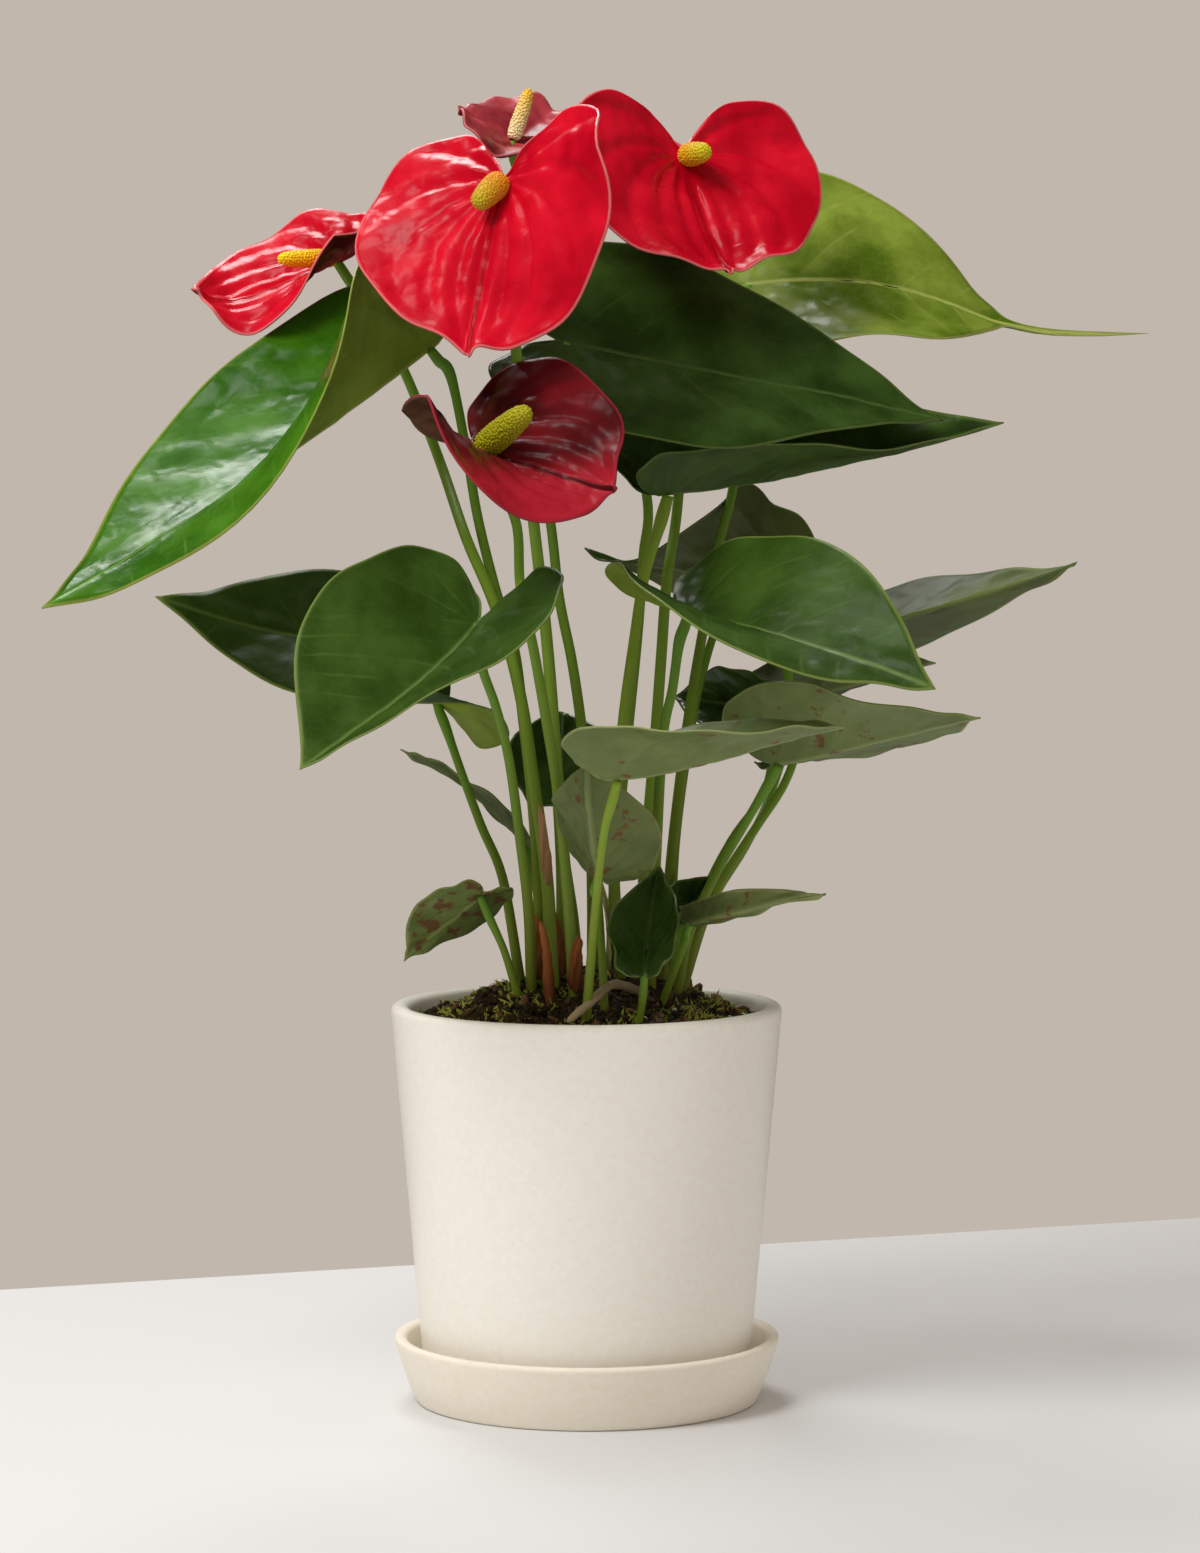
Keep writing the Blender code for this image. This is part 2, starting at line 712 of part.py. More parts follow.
def blade_edge(blade, outline, length, spokes):
    """The flat blade's edge, as (along, across) at the end of each spoke."""
    half = smooth_line(tailed(outline, blade.drip), spokes // 2 + 1)
    return np.vstack([half, half[-2::-1] * (1, -1)]) * (length, blade.width)


def near_joint(blade, outline, spokes, rings):
    """Places on the blade's first ring, from its joint."""
    length, turn = blade_place(blade)
    along, across = blade_edge(blade, outline, length, spokes).T / rings
    return bent(blade, length, along, across) @ turn


def build_blade(name, blade, outline, thick, spokes, rings, group, surface):
    """A leaf or spathe: a disc of spokes from the stem's joint, bent to its shape and thickened."""
    length, turn = blade_place(blade)
    edge = blade_edge(blade, outline, length, spokes)
    shape = bmesh.new()
    bmesh.ops.create_grid(shape, x_segments=spokes, y_segments=rings, size=1.0)
    for vertex in shape.verts:
        spoke = round((vertex.co.x + 1) / 2 * spokes)
        ring = (vertex.co.y + 1) / 2
        along, across = edge[spoke] * ring
        place = bent(blade, length, np.array(along), np.array(across))
        vertex.co = lay_metres([above_rim(place @ turn + blade.attach)])[0]
    bmesh.ops.remove_doubles(shape, verts=shape.verts, dist=0.00001)
    mesh = bpy.data.meshes.new(name)
    shape.to_mesh(mesh)
    shape.free()
    mesh.shade_smooth()
    made = add_object(name, mesh, group, surface)
    solid = made.modifiers.new("Thickness", "SOLIDIFY")
    solid.thickness = thick * MM
    solid.offset = 0.0


def tailed(outline, drip):
    """The half outline with the last share of its length drawn out as a thin tail."""
    if not drip:
        return outline
    body = [(along * (1 - drip) if along > 0 else along, across) for along, across in outline[:-1]]
    return body + [(1.02 - drip, 0.022), (1.0, 0.0)]


def build_spadix(name, blade, spadix, near, group, surface):
    """A spadix: a blunt spike that stands on the spathe where its stem joins."""
    joint, normal = above_rim(blade.attach), blade_normal(blade)
    reach = above_rim(spadix.tip) - joint
    lean = unit(reach)
    rings = [ring(reach * share, lean, spadix.radius * swell) for share, swell in SPADIX_SWELL[:4]]
    over = surface_over(near, normal, np.vstack(rings)).max()
    base = joint + normal * (over + SPATHE_THICK + 2 * FIT)
    reach = above_rim(spadix.tip) - base
    line = [base + reach * share for share, _ in SPADIX_SWELL]
    tube(name, line, [spadix.radius * swell for _, swell in SPADIX_SWELL], 10, group, surface)


def build_root(name, root, group, sockets, surface):
    """An aerial root or a dry sheath: a short tube that leaves the soil."""
    line = [stem_foot(root) - stem_lean(root) * SOCKET_DEPTH, *map(above_rim, root.via)]
    line = smooth_line(line, STEM_SPAN_POINTS * (len(line) - 1) + 1)
    radii = np.linspace(root.thick, root.thin, len(line))
    tube(name, line, radii, 8, group, surface)
    build_socket(name, root, sockets)


def main():
    for old in list(bpy.data.objects):
        bpy.data.objects.remove(old, do_unlink=True)
    plant = collection("potted_anthurium")
    sockets = collection("socket_cutters", hidden=True)
    build_saucer(plant)
    build_pot(plant)
    build_soil(plant, sockets)
    stalk = material("stem_green", (0.13, 0.24, 0.035), 0.45)
    leaf = material("leaf_green", (0.030, 0.115, 0.022), 0.35)
    red = material("spathe_red", (0.60, 0.010, 0.025), 0.25)
    yellow = material("spadix_yellow", (0.75, 0.50, 0.03), 0.5)
    dry = material("dry_brown", (0.22, 0.11, 0.05), 0.7)
    for name, (blade, stem, spadix) in FLOWERS.items():
        form = (blade, SPATHE_OUTLINE)
        near = near_joint(*form, *SPATHE_GRID)
        build_blade(f"flower_{name}_spathe", *form, SPATHE_THICK, *SPATHE_GRID, plant, red)
        build_spadix(f"flower_{name}_spadix", blade, spadix, near, plant, yellow)
        build_stem(f"flower_{name}_stem", blade, stem, SPATHE_THICK, near, plant, sockets, stalk)
    for name, (blade, stem) in LEAVES.items():
        form = (blade, LEAF_OUTLINE)
        grid = LEAF_GRID if blade.width > SMALL_LEAF else SMALL_LEAF_GRID
        near = near_joint(*form, *grid)
        build_blade(f"leaf_{name}_blade", *form, BLADE_THICK, *grid, plant, leaf)
        build_stem(f"leaf_{name}_stem", blade, stem, BLADE_THICK, near, plant, sockets, stalk)
    for name, root in ROOTS.items():
        build_root(name, root, plant, sockets, dry)


if __name__ == "__main__":
    main()
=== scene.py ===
"""Potted anthurium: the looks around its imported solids.

Sizes are in millimetres and degrees unless a unit is given, and MM turns them to metres. The frame
has +Z up, X to the right and Y to the back, with its origin under the middle of the saucer.
"""

from collections import namedtuple

import bpy
import numpy as np
from mathutils import Euler, Matrix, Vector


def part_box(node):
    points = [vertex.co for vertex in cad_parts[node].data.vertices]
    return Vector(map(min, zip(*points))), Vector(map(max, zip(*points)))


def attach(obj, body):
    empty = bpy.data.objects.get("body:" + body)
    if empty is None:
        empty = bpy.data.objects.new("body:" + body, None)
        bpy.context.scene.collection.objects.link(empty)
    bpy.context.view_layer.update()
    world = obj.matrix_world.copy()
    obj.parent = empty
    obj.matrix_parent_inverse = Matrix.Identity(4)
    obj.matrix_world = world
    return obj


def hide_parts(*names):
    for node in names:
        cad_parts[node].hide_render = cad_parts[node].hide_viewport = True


bl_info = {
    "name": "Potted anthurium",
    "version": (1, 0, 0),
    "blender": (4, 5, 0),
    "location": "3D View > Sidebar > Anthurium",
    "description": "Builds the leaves, flowers, stems, soil, pot and stage around the packed solids",
    "category": "Object",
}

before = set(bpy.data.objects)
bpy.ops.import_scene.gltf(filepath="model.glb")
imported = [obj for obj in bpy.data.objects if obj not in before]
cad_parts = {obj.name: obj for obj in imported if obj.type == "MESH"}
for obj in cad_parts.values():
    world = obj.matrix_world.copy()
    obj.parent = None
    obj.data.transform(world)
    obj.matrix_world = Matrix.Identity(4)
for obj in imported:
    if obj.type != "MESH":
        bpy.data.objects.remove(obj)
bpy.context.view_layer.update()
MM = 0.001
BODY = "root"

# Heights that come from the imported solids
RIM_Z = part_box("pot")[1][2] / MM
POT_BASE_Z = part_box("pot")[0][2] / MM
POT_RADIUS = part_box("pot")[1][0] / MM
SAUCER_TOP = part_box("saucer")[1][2] / MM
SAUCER_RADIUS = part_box("saucer")[1][0] / MM

# Pot and saucer, as the solids have them
POT_BASE_RADIUS = 54.0
POT_WALL = 6.2
POT_FLOOR = 6.0
POT_RIM_ROUND = 2.9
DRAIN_RADIUS = 6.0
SAUCER_FOOT_RADIUS = 57.0
SAUCER_FLARE_RADIUS = 60.0
SAUCER_WALL = 4.4
SAUCER_FLOOR = 6.0
SAUCER_FOOT_RISE = 1.4

# Soil
FIT = 0.3
SOIL_EDGE_Z = RIM_Z - 5.0
SOIL_MOUND = 14.5
SOIL_DEPTH = 14.0

# How stems leave the soil and meet the blades
SOCKET_DEPTH = 3.0
SOCKET_RISE = 5.0
NECK = 10.0
STRAIGHT_END = 1.5
END_LEAN = 60.0

# Mesh fineness
BLADE_SPOKES = 128
BLADE_RINGS = 30
STEM_SIDES = 16
STEM_SPAN_POINTS = 6
TURN_STEPS = 160
SOIL_RINGS = 60
SOIL_SPOKES = 180
SHEATH_ROWS = 22
SHEATH_COLUMNS = 13

# Shares of a blade's length: how far back its lobes lift and where its tip starts to curl. Share of
# the way to its edge where the ripple starts, and how fast it grows from there
LOBE_REACH = 0.22
CURL_START = 0.6
RIPPLE_START = 0.55
RIPPLE_GROWTH = 5.0

# Waves round a blade's edge, in and out and up and down, and waves over its skin
WANDER_WAVES = (5, 7, 11)
RIPPLE_WAVES = (5, 8, 13)
SWELL_WAVES = 14
SWELL_PITCH = 0.45
MOST_VEIN_GAP = 60.0

# Refraction of plant skin, set low so that reflections don't grey its colour
CUTICLE_IOR = 1.33
GLAZE_IOR = 1.5

# Share of a solid stalk's radius that the drawn stalk has
STALK_SHARE = 0.86
FLOWER_KNEE = 0.1

SHEATH_THICK = 0.35
FLORET_RADIUS = 0.55

# Half outlines from the notch round one lobe to the tip: (share of length, share of width)
LEAF_OUTLINE = (
    (-0.03, 0.0), (-0.13, 0.07), (-0.20, 0.20), (-0.13, 0.36), (0.06, 0.46),
    (0.28, 0.50), (0.52, 0.43), (0.76, 0.24), (0.90, 0.09), (1.0, 0.0),
)
SPATHE_OUTLINE = (
    (-0.03, 0.0), (-0.17, 0.07), (-0.34, 0.22), (-0.27, 0.40), (0.02, 0.50),
    (0.38, 0.47), (0.70, 0.34), (0.89, 0.16), (0.955, 0.03), (1.0, 0.0),
)

Blade = namedtuple(
    "Blade",
    "attach tip turned tilt width left right bend cup_left cup_right opens lobe curl sweep twist drip",
    defaults=(0,) * 10,
)
"""attach and tip are places above the pot's rim. The upper side looks to the front, turned to the
right by turned and up by tilt. left and right fold the two halves up from the midrib, and opens is
the share of that fold that is lost by the tip. bend droops the midrib and cup curls each half.
lobe, curl and sweep lift the lobes, drop the tip and swing the tip sideways, in millimetres.
twist turns the tip and drip is the share of the length that is a thin tail."""

Stem = namedtuple("Stem", "foot via thick thin")
"""foot is the place on the soil, via the places above the pot's rim that the stem passes, and thick
and thin its radius at the soil and under the blade."""

Spadix = namedtuple("Spadix", "tip radius")
"""tip is a place above the pot's rim."""

FLOWERS = {
    "front": (
        Blade(
            attach=(-27, -30, 270), tip=(-37, -65, 213), turned=-12, tilt=29,
            width=95, left=28, right=-16,
            bend=2, cup_left=12, cup_right=2, opens=0.8, lobe=-2, curl=-5, sweep=4, twist=-15,
        ),
        Stem(
            foot=(-8, -6), thick=2.6, thin=2.0,
            via=[
                (-8, -8, 46), (-10, -11, 82), (-13, -14, 122), (-17, -30, 160), (-21, -34, 197),
                (-24, -38, 236),
            ],
        ),
        Spadix(tip=(-35, -42, 262), radius=4.6),
    ),
    "right": (
        Blade(
            attach=(33, 34, 282), tip=(48, -7, 242), turned=11, tilt=35,
            width=90, left=-1, right=25,
            bend=-14, cup_left=-1, cup_right=-8, opens=0.9, lobe=2, curl=-4, sweep=2, twist=-1,
        ),
        Stem(
            foot=(17, 12), thick=2.4, thin=1.9,
            via=[(20, 14, 51), (23, 17, 87), (25, 19, 114), (27, 21, 141), (31, 36, 168), (35, 35, 235)],
        ),
        Spadix(tip=(40, 19, 283), radius=4.2),
    ),
    "rear": (
        Blade(
            attach=(-25, 25, 287), tip=(-43, 27, 297), turned=28, tilt=68,
            width=61, left=3, right=13,
            bend=23, cup_left=4, cup_right=4, opens=0.4, lobe=7, curl=2, twist=8,
        ),
        Stem(
            foot=(8, 16), thick=2.2, thin=1.8,
            via=[
                (10, 17, 50), (14, 18, 91), (17, 19, 121), (19, 20, 148), (20, 21, 170),
                (8, 22, 221), (-11, 24, 258),
            ],
        ),
        Spadix(tip=(-19, 25, 304), radius=2.8),
    ),
    "left": (
        Blade(
            attach=(-85, 47, 248), tip=(-132, 24, 238), turned=-11, tilt=57,
            width=63, left=49, right=4,
            bend=-18, cup_left=-2, cup_right=-2, opens=1.4, lobe=-3, curl=-11, sweep=7, twist=-4,
        ),
        Stem(
            foot=(-11, -16), thick=2.6, thin=1.9,
            via=[
                (-13, -14, 43), (-17, -11, 72), (-21, -8, 99), (-26, -6, 120), (-32, -4, 137),
                (-40, 3, 155), (-50, 36, 181), (-62, 39, 211), (-74, 46, 231),
            ],
        ),
        Spadix(tip=(-104, 35, 248), radius=3.4),
    ),
    "young": (
        Blade(
            attach=(-33, -61, 183), tip=(10, -84, 171), turned=10, tilt=27,
            width=79, left=0, right=70,
            bend=17, cup_left=6, cup_right=11, opens=1.1, lobe=-2, curl=-3, sweep=1, twist=1,
        ),
        Stem(
            foot=(-4, -22), thick=2.3, thin=1.8,
            via=[
                (-6, -26, 37), (-9, -33, 71), (-13, -38, 97), (-17, -43, 120), (-21, -48, 139),
                (-22, -53, 159), (-27, -56, 171),
            ],
        ),
        Spadix(tip=(-18, -78, 196), radius=4.8),
    ),
}

LEAVES = {
    "upper_left": (
        Blade(
            attach=(-52, 12, 217), tip=(-170, -88, 134), turned=-45, tilt=42,
            width=103, left=100, right=17,
            bend=-8, cup_left=-23, cup_right=20, opens=1.3, curl=1, sweep=-2, twist=1,
        ),
        Stem(
            foot=(-15, -6), thick=2.4, thin=1.8,
            via=[
                (-16, -4, 42), (-18, -2, 69), (-21, 0, 95), (-24, 2, 118), (-30, 4, 137),
                (-36, 6, 161), (-40, 9, 184), (-45, 11, 208),
            ],
        ),
    ),
    "upper_middle": (
        Blade(
            attach=(-6, -3, 219), tip=(119, 19, 193), turned=58, tilt=46,
            width=92, left=32, right=-3,
            bend=-2, cup_left=-4, cup_right=-13, opens=0.3, lobe=-5, curl=3, sweep=1, twist=-12,
        ),
        Stem(
            foot=(2, 4), thick=2.3, thin=1.8,
            via=[
                (2, 4, 35), (1, 2, 68), (-2, 1, 95), (-5, 0, 115), (-9, -1, 135), (-12, -3, 161),
                (-18, -5, 194),
            ],
        ),
    ),
    "upper_right": (
        Blade(
            attach=(56, 79, 241), tip=(197, 99, 225), turned=5, tilt=51,
            width=99, left=14, right=-11,
            bend=65, cup_left=4, cup_right=37, curl=-32, sweep=-8, twist=-25, drip=0.28,
        ),
        Stem(
            foot=(25, 18), thick=2.3, thin=1.8,
            via=[(29, 25, 50), (34, 33, 90), (39, 39, 120), (45, 44, 152), (50, 49, 172), (53, 60, 202)],
        ),
    ),
    "upper_under": (
        Blade(
            attach=(27, 0, 169), tip=(140, 25, 193), turned=41, tilt=21,
            width=64, left=-9, right=108,
            bend=-40, cup_left=-20, cup_right=-9, opens=0.3, lobe=9, curl=1, twist=3,
        ),
        Stem(
            foot=(11, -2), thick=2.4, thin=2.0,
            via=[(9, -2, 52), (12, -1, 92), (16, -1, 122), (19, 0, 141), (24, 0, 158)],
        ),
    ),
    "front_left": (
        Blade(
            attach=(-35, -58, 128), tip=(-87, -127, 86), turned=-67, tilt=44,
            width=88, left=-2, right=64,
            bend=-17, cup_left=-6, cup_right=11, opens=0.3, lobe=2, curl=3, sweep=-5, twist=-3,
        ),
        Stem(
            foot=(-18, -16), thick=2.2, thin=1.7,
            via=[(-19, -22, 34), (-22, -31, 61), (-25, -39, 84), (-29, -46, 101), (-33, -51, 113)],
        ),
    ),
    "back_left": (
        Blade(
            attach=(-50, 14, 100), tip=(-141, -18, 136), turned=7, tilt=42,
            width=73, left=62, right=-9,
            bend=65, cup_left=-8, cup_right=9, opens=1.4, lobe=-8, curl=-14, sweep=-1, twist=7,
        ),
        Stem(
            foot=(-22, 6), thick=2.1, thin=1.6,
            via=[(-28, 8, 41), (-35, 10, 58), (-41, 11, 74), (-47, 13, 91)],
        ),
    ),
    "front_right": (
        Blade(
            attach=(33, -40, 131), tip=(108, -109, 110), turned=-22, tilt=49,
            width=76, left=6, right=65,
            bend=20, cup_left=8, cup_right=2, opens=0.8, lobe=-1, curl=2, sweep=8, twist=4,
        ),
        Stem(
            foot=(21, -8), thick=2.4, thin=1.8,
            via=[(23, -17, 53), (25, -27, 90), (28, -32, 106), (30, -37, 121)],
        ),
    ),
    "rear_middle": (
        Blade(
            attach=(68, 70, 141), tip=(-1, 54, 150), turned=127, tilt=45,
            width=63, left=92, right=-6,
            bend=-16, cup_left=9, cup_right=5, opens=1.4, lobe=1, curl=-1, sweep=-1, twist=-15,
        ),
        Stem(
            foot=(28, 30), thick=2.0, thin=1.6,
            via=[(30, 40, 48), (35, 48, 85), (40, 54, 109), (47, 63, 126)],
        ),
    ),
    "rear_right": (
        Blade(
            attach=(69, 44, 116), tip=(164, 12, 146), turned=133, tilt=13,
            width=51, left=62, right=69,
            bend=-40, cup_left=-4, cup_right=-2, lobe=13, curl=-4, twist=2,
        ),
        Stem(
            foot=(32, 6), thick=2.0, thin=1.6,
            via=[(37, 10, 22), (45, 15, 39), (57, 21, 57), (67, 26, 72), (71, 32, 86)],
        ),
    ),
    "rear_low_right": (
        Blade(
            attach=(68, 63, 98), tip=(119, 51, 112), turned=149, tilt=32,
            width=37, left=48, right=-9,
            bend=-40, cup_left=10, cup_right=-6, lobe=6, curl=1, sweep=4, twist=17,
        ),
        Stem(
            foot=(32, 22), thick=1.8, thin=1.5,
            via=[(42, 31, 30), (54, 39, 49), (63, 58, 65), (69, 67, 83)],
        ),
    ),
    "inner_right": (
        Blade(
            attach=(65, 50, 95), tip=(30, 77, 98), turned=-16, tilt=29,
            width=34, left=34, right=67,
            bend=-4, cup_left=6, cup_right=10, opens=0.2, lobe=3, sweep=1, twist=-2,
        ),
        Stem(
            foot=(29, 36), thick=1.7, thin=1.4,
            via=[(39, 37, 31), (49, 40, 51), (60, 32, 68), (64, 34, 85)],
        ),
    ),
    "side_right": (
        Blade(
            attach=(63, -20, 81), tip=(127, -46, 98), turned=-159, tilt=63,
            width=69, left=19, right=46,
            bend=-6, cup_left=-1, cup_right=-15, opens=0.9, lobe=3, curl=1, sweep=2, twist=5,
        ),
        Stem(
            foot=(30, -6), thick=2.0, thin=1.7,
            via=[(34, -8, 24), (42, -12, 43), (51, -15, 59), (59, -18, 73)],
        ),
    ),
    "front_long": (
        Blade(
            attach=(10, -82, 80), tip=(81, -94, 98), turned=-15, tilt=78,
            width=64, left=8, right=63,
            bend=-16, cup_left=5, cup_right=-25, opens=0.6, lobe=5, curl=3, sweep=1, twist=2,
        ),
        Stem(
            foot=(0, -44), thick=1.9, thin=1.5,
            via=[(2, -54, 25), (4, -69, 48), (6, -77, 64)],
        ),
    ),
    "front_spotted": (
        Blade(
            attach=(4, -47, 47), tip=(1, -61, 86), turned=161, tilt=30,
            width=44, left=29, right=43,
            bend=-19, cup_left=-2, cup_right=3, opens=0.4, lobe=4, curl=-4, twist=1,
        ),
        Stem(
            foot=(6, -38), thick=1.7, thin=1.4,
            via=[(5, -37, 22), (4, -37, 37)],
        ),
    ),
    "front_dark": (
        Blade(
            attach=(19, -48, 16), tip=(24, -23, 48), turned=-14, tilt=10,
            width=30, left=48, right=34,
            bend=-10, cup_left=2, cup_right=8, opens=0.2, lobe=5, sweep=-4, twist=-6,
        ),
        Stem(
            foot=(17, -44), thick=1.4, thin=1.2,
            via=[(18, -45, 4)],
        ),
    ),
    "low_right": (
        Blade(
            attach=(34, -35, 30), tip=(76, -77, 43), turned=136, tilt=35,
            width=15, left=45, right=43,
            bend=-24, cup_left=5, lobe=6, curl=3, sweep=6, twist=9,
        ),
        Stem(
            foot=(25, -22), thick=1.6, thin=1.3,
            via=[(32, -30, 23)],
        ),
    ),
    "low_inner": (
        Blade(
            attach=(32, 12, 26), tip=(42, 27, 41), turned=-20, tilt=20,
            width=22, left=62, right=49,
            bend=-6, cup_left=2, cup_right=7, lobe=4, curl=-3, sweep=-5, twist=-2,
        ),
        Stem(
            foot=(27, 4), thick=1.5, thin=1.3,
            via=[(31, 8, 18)],
        ),
    ),
    "low_left": (
        Blade(
            attach=(-35, -22, 38), tip=(-60, -11, 15), turned=-162, tilt=40,
            width=32, left=-6, right=20,
            bend=12, cup_left=1, cup_right=-4, opens=0.2, lobe=-2, curl=3, sweep=6, twist=1,
        ),
        Stem(
            foot=(-22, -22), thick=1.7, thin=1.3,
            via=[(-27, -22, 20)],
        ),
    ),
    "rear_left": (
        Blade(
            attach=(-21, 28, 52), tip=(-64, 48, 81), turned=-180, tilt=78,
            width=37, left=20, right=-8,
            bend=13, cup_left=-3, cup_right=-7, opens=0.4, curl=3, sweep=1, twist=-3,
        ),
        Stem(
            foot=(-13, 22), thick=1.6, thin=1.3,
            via=[(-15, 24, 23), (-18, 26, 39)],
        ),
    ),
    "rear_inner": (
        Blade(
            attach=(-9, 45, 65), tip=(-9, 71, 94), turned=-7, tilt=19,
            width=43, left=41, right=26,
            bend=3, cup_left=1, cup_right=2, opens=0.1, lobe=3, twist=2,
        ),
        Stem(
            foot=(-2, 34), thick=1.6, thin=1.3,
            via=[(-4, 37, 25), (-7, 41, 45)],
        ),
    ),
}

ROOTS = {
    "aerial_root": Stem(
        foot=(18, -18), thick=1.7, thin=1.3,
        via=[(9, -34, 10), (2, -46, 6), (-6, -54, 0)],
    ),
    "dry_sheath": Stem(
        foot=(-12, -26), thick=2.2, thin=0.8,
        via=[(-13, -27, 20), (-15, -28, 30)],
    ),
}

Veins = namedtuple("Veins", "count basal groove width bullate ripple wander thick")
"""count is the number of side veins on a half, basal how many go back into the lobe for each
radian, groove how deep they lie, width how wide the groove is, bullate how far the skin swells
between small veins, ripple how far the edge waves up and down, wander what share of the reach it
waves in and out and thick the thickness."""

LEAF_VEINS = Veins(
    count=7.5, basal=1.9, groove=0.4, width=2.6, bullate=0.3, ripple=0.9, wander=0.02, thick=0.55
)
SPATHE_VEINS = Veins(
    count=6.5, basal=0, groove=1.1, width=2.2, bullate=0.4, ripple=1.5, wander=0.06, thick=0.7
)

# Upper and lower skin of each leaf
LEAF_SKINS = {
    "upper_left": ("glossy", "pale"),
    "upper_middle": ("dark", "pale"),
    "upper_right": ("light", "pale"),
    "upper_under": ("dark", "deep_under"),
    "front_left": ("plain", "pale"),
    "back_left": ("plain", "pale"),
    "front_right": ("plain", "pale"),
    "rear_middle": ("dark", "shaded"),
    "rear_right": ("plain", "shaded"),
    "rear_low_right": ("plain", "shaded"),
    "inner_right": ("dark", "shaded"),
    "side_right": ("plain", "speckled"),
    "front_long": ("pale_top", "speckled"),
    "front_spotted": ("plain", "spotted"),
    "front_dark": ("dark", "shaded"),
    "low_right": ("plain", "spotted"),
    "low_inner": ("dark", "shaded"),
    "low_left": ("plain", "blotched"),
    "rear_left": ("plain", "shaded"),
    "rear_inner": ("dark", "shaded"),
}

Skin = namedtuple("Skin", "deep light vein edge roughness spots spot_share", defaults=("6B3A1E", 0.0))
"""Colours of a blade's skin: between the veins, mottled over that, along the veins and at the edge."""

SKINS = {
    "glossy": Skin("285408", "3F7010", "5E8830", "A3A850", 0.22),
    "dark": Skin("22360F", "36501C", "425828", "66743A", 0.22),
    "light": Skin("4C660C", "7C9030", "A0AC58", "B4B870", 0.29),
    "plain": Skin("2A4210", "3A551A", "577034", "8C9C50", 0.34),
    "pale_top": Skin("59693A", "6B7A48", "7E8C58", "A5AB72", 0.42, spot_share=0.12),
    "deep_under": Skin("30480C", "46601A", "5E7A2C", "8C9C50", 0.42),
    "pale": Skin("64781A", "7E9228", "8E9C4A", "A5AB60", 0.44),
    "shaded": Skin("3E4A1E", "525E2C", "64723C", "868F52", 0.45),
    "speckled": Skin("5F6E3C", "72804C", "808E56", "9FA56A", 0.45, spot_share=0.16),
    "spotted": Skin("556334", "6A7742", "7C8852", "969C62", 0.48, spot_share=0.3),
    "blotched": Skin("5A6C34", "748448", "8A9A58", "8A8B4C", 0.5, "6A3428", 0.6),
}
# A spathe's edge colour is a painted highlight along its rim
SPATHE_SKINS = {
    "red": Skin("A80018", "C80422", "98000F", "EC8C8C", 0.23),
    "faded": Skin("7C2028", "AC3C44", "8E2A30", "BC7070", 0.33),
    "red_back": Skin("7C0A16", "96121F", "6A0812", "B84048", 0.34),
    "young": Skin("2A0A08", "A01A28", "4A0C10", "A83040", 0.25),
    "young_back": Skin("4A2A1C", "6E4A34", "3A1C14", "8A5A44", 0.4),
}
SPATHE_PAIRS = {"young": ("young", "young_back"), "rear": ("faded", "red_back")}
# A spadix's girth: (share of its length, share of its radius)
SPADIX_SWELL = (
    (0.0, 0.55), (0.04, 0.82), (0.10, 0.94), (0.30, 1.0), (0.55, 0.93), (0.75, 0.83), (0.88, 0.70),
    (0.95, 0.52), (0.985, 0.30), (1.0, 0.02),
)
# Colour at the foot and at the tip, and how round the small flowers stand out
SPADIX_LOOKS = {
    "front": ("E08A1C", "B8A424", 0.5),
    "right": ("E09418", "C8BC20", 0.5),
    "rear": ("F4E8BC", "E8B80C", 0.35),
    "left": ("E0A810", "F0D418", 0.35),
    "young": ("9A9408", "A8A420", 0.8),
}

Scatter = namedtuple(
    "Scatter", "spacing density size seed tilt rough rough_scale variation subdivisions clumping",
    defaults=(0.0,),
)
"""Bits over a surface: spacing is the least gap between middles, density the most for a square
metre, size the half length, width and height of one, tilt the most that it leans in degrees, rough
how far its skin is pushed about, variation the share by which sizes differ and clumping how much
the bits keep to patches."""

SOIL_BITS = {
    "soil_crumbs": Scatter(1.1, 420000, (1.3, 1.1, 0.9), 3, 180, 0.9, 700, 0.6, 1),
    "bark_chips": Scatter(5.0, 16000, (3.6, 1.7, 0.8), 7, 60, 1.6, 320, 0.45, 2),
    "moss_tufts": Scatter(0.7, 700000, (0.32, 0.32, 2.3), 11, 75, 0.5, 900, 0.6, 1, 1.0),
    "perlite": Scatter(9.0, 3000, (1.2, 1.0, 0.9), 17, 180, 0.8, 600, 0.4, 2),
    "root_fibres": Scatter(4.0, 14000, (4.5, 0.22, 0.22), 23, 35, 1.4, 160, 0.5, 2),
}

Sheath = namedtuple("Sheath", "stem start length side reach finish")
"""A dry sheath on a stem: start is how far up the stem from the soil it begins, side the way it faces
and reach how far round it goes each way, both in degrees."""

SHEATHS = {
    "sheath_front": Sheath("front", 0.0, 24.0, 235.0, 80.0, "brown"),
    "sheath_young": Sheath("young", 0.0, 20.0, 300.0, 80.0, "brown"),
    "sheath_upper_left": Sheath("upper_left", 1.0, 22.0, 250.0, 80.0, "brown"),
    "sheath_upper_middle": Sheath("upper_middle", 48.0, 32.0, 300.0, 38.0, "pink"),
    "sheath_left": Sheath("left", 34.0, 26.0, 280.0, 40.0, "pink"),
    "sheath_upper_under": Sheath("upper_under", 2.0, 34.0, 160.0, 80.0, "pale"),
    "sheath_right": Sheath("right", 0.0, 22.0, 320.0, 80.0, "brown"),
}
SHEATH_COLOURS = {"brown": ("5E3014", "A4602C"), "pink": ("8A6A40", "C08A68"), "pale": ("A09C5C", "C4BE80")}

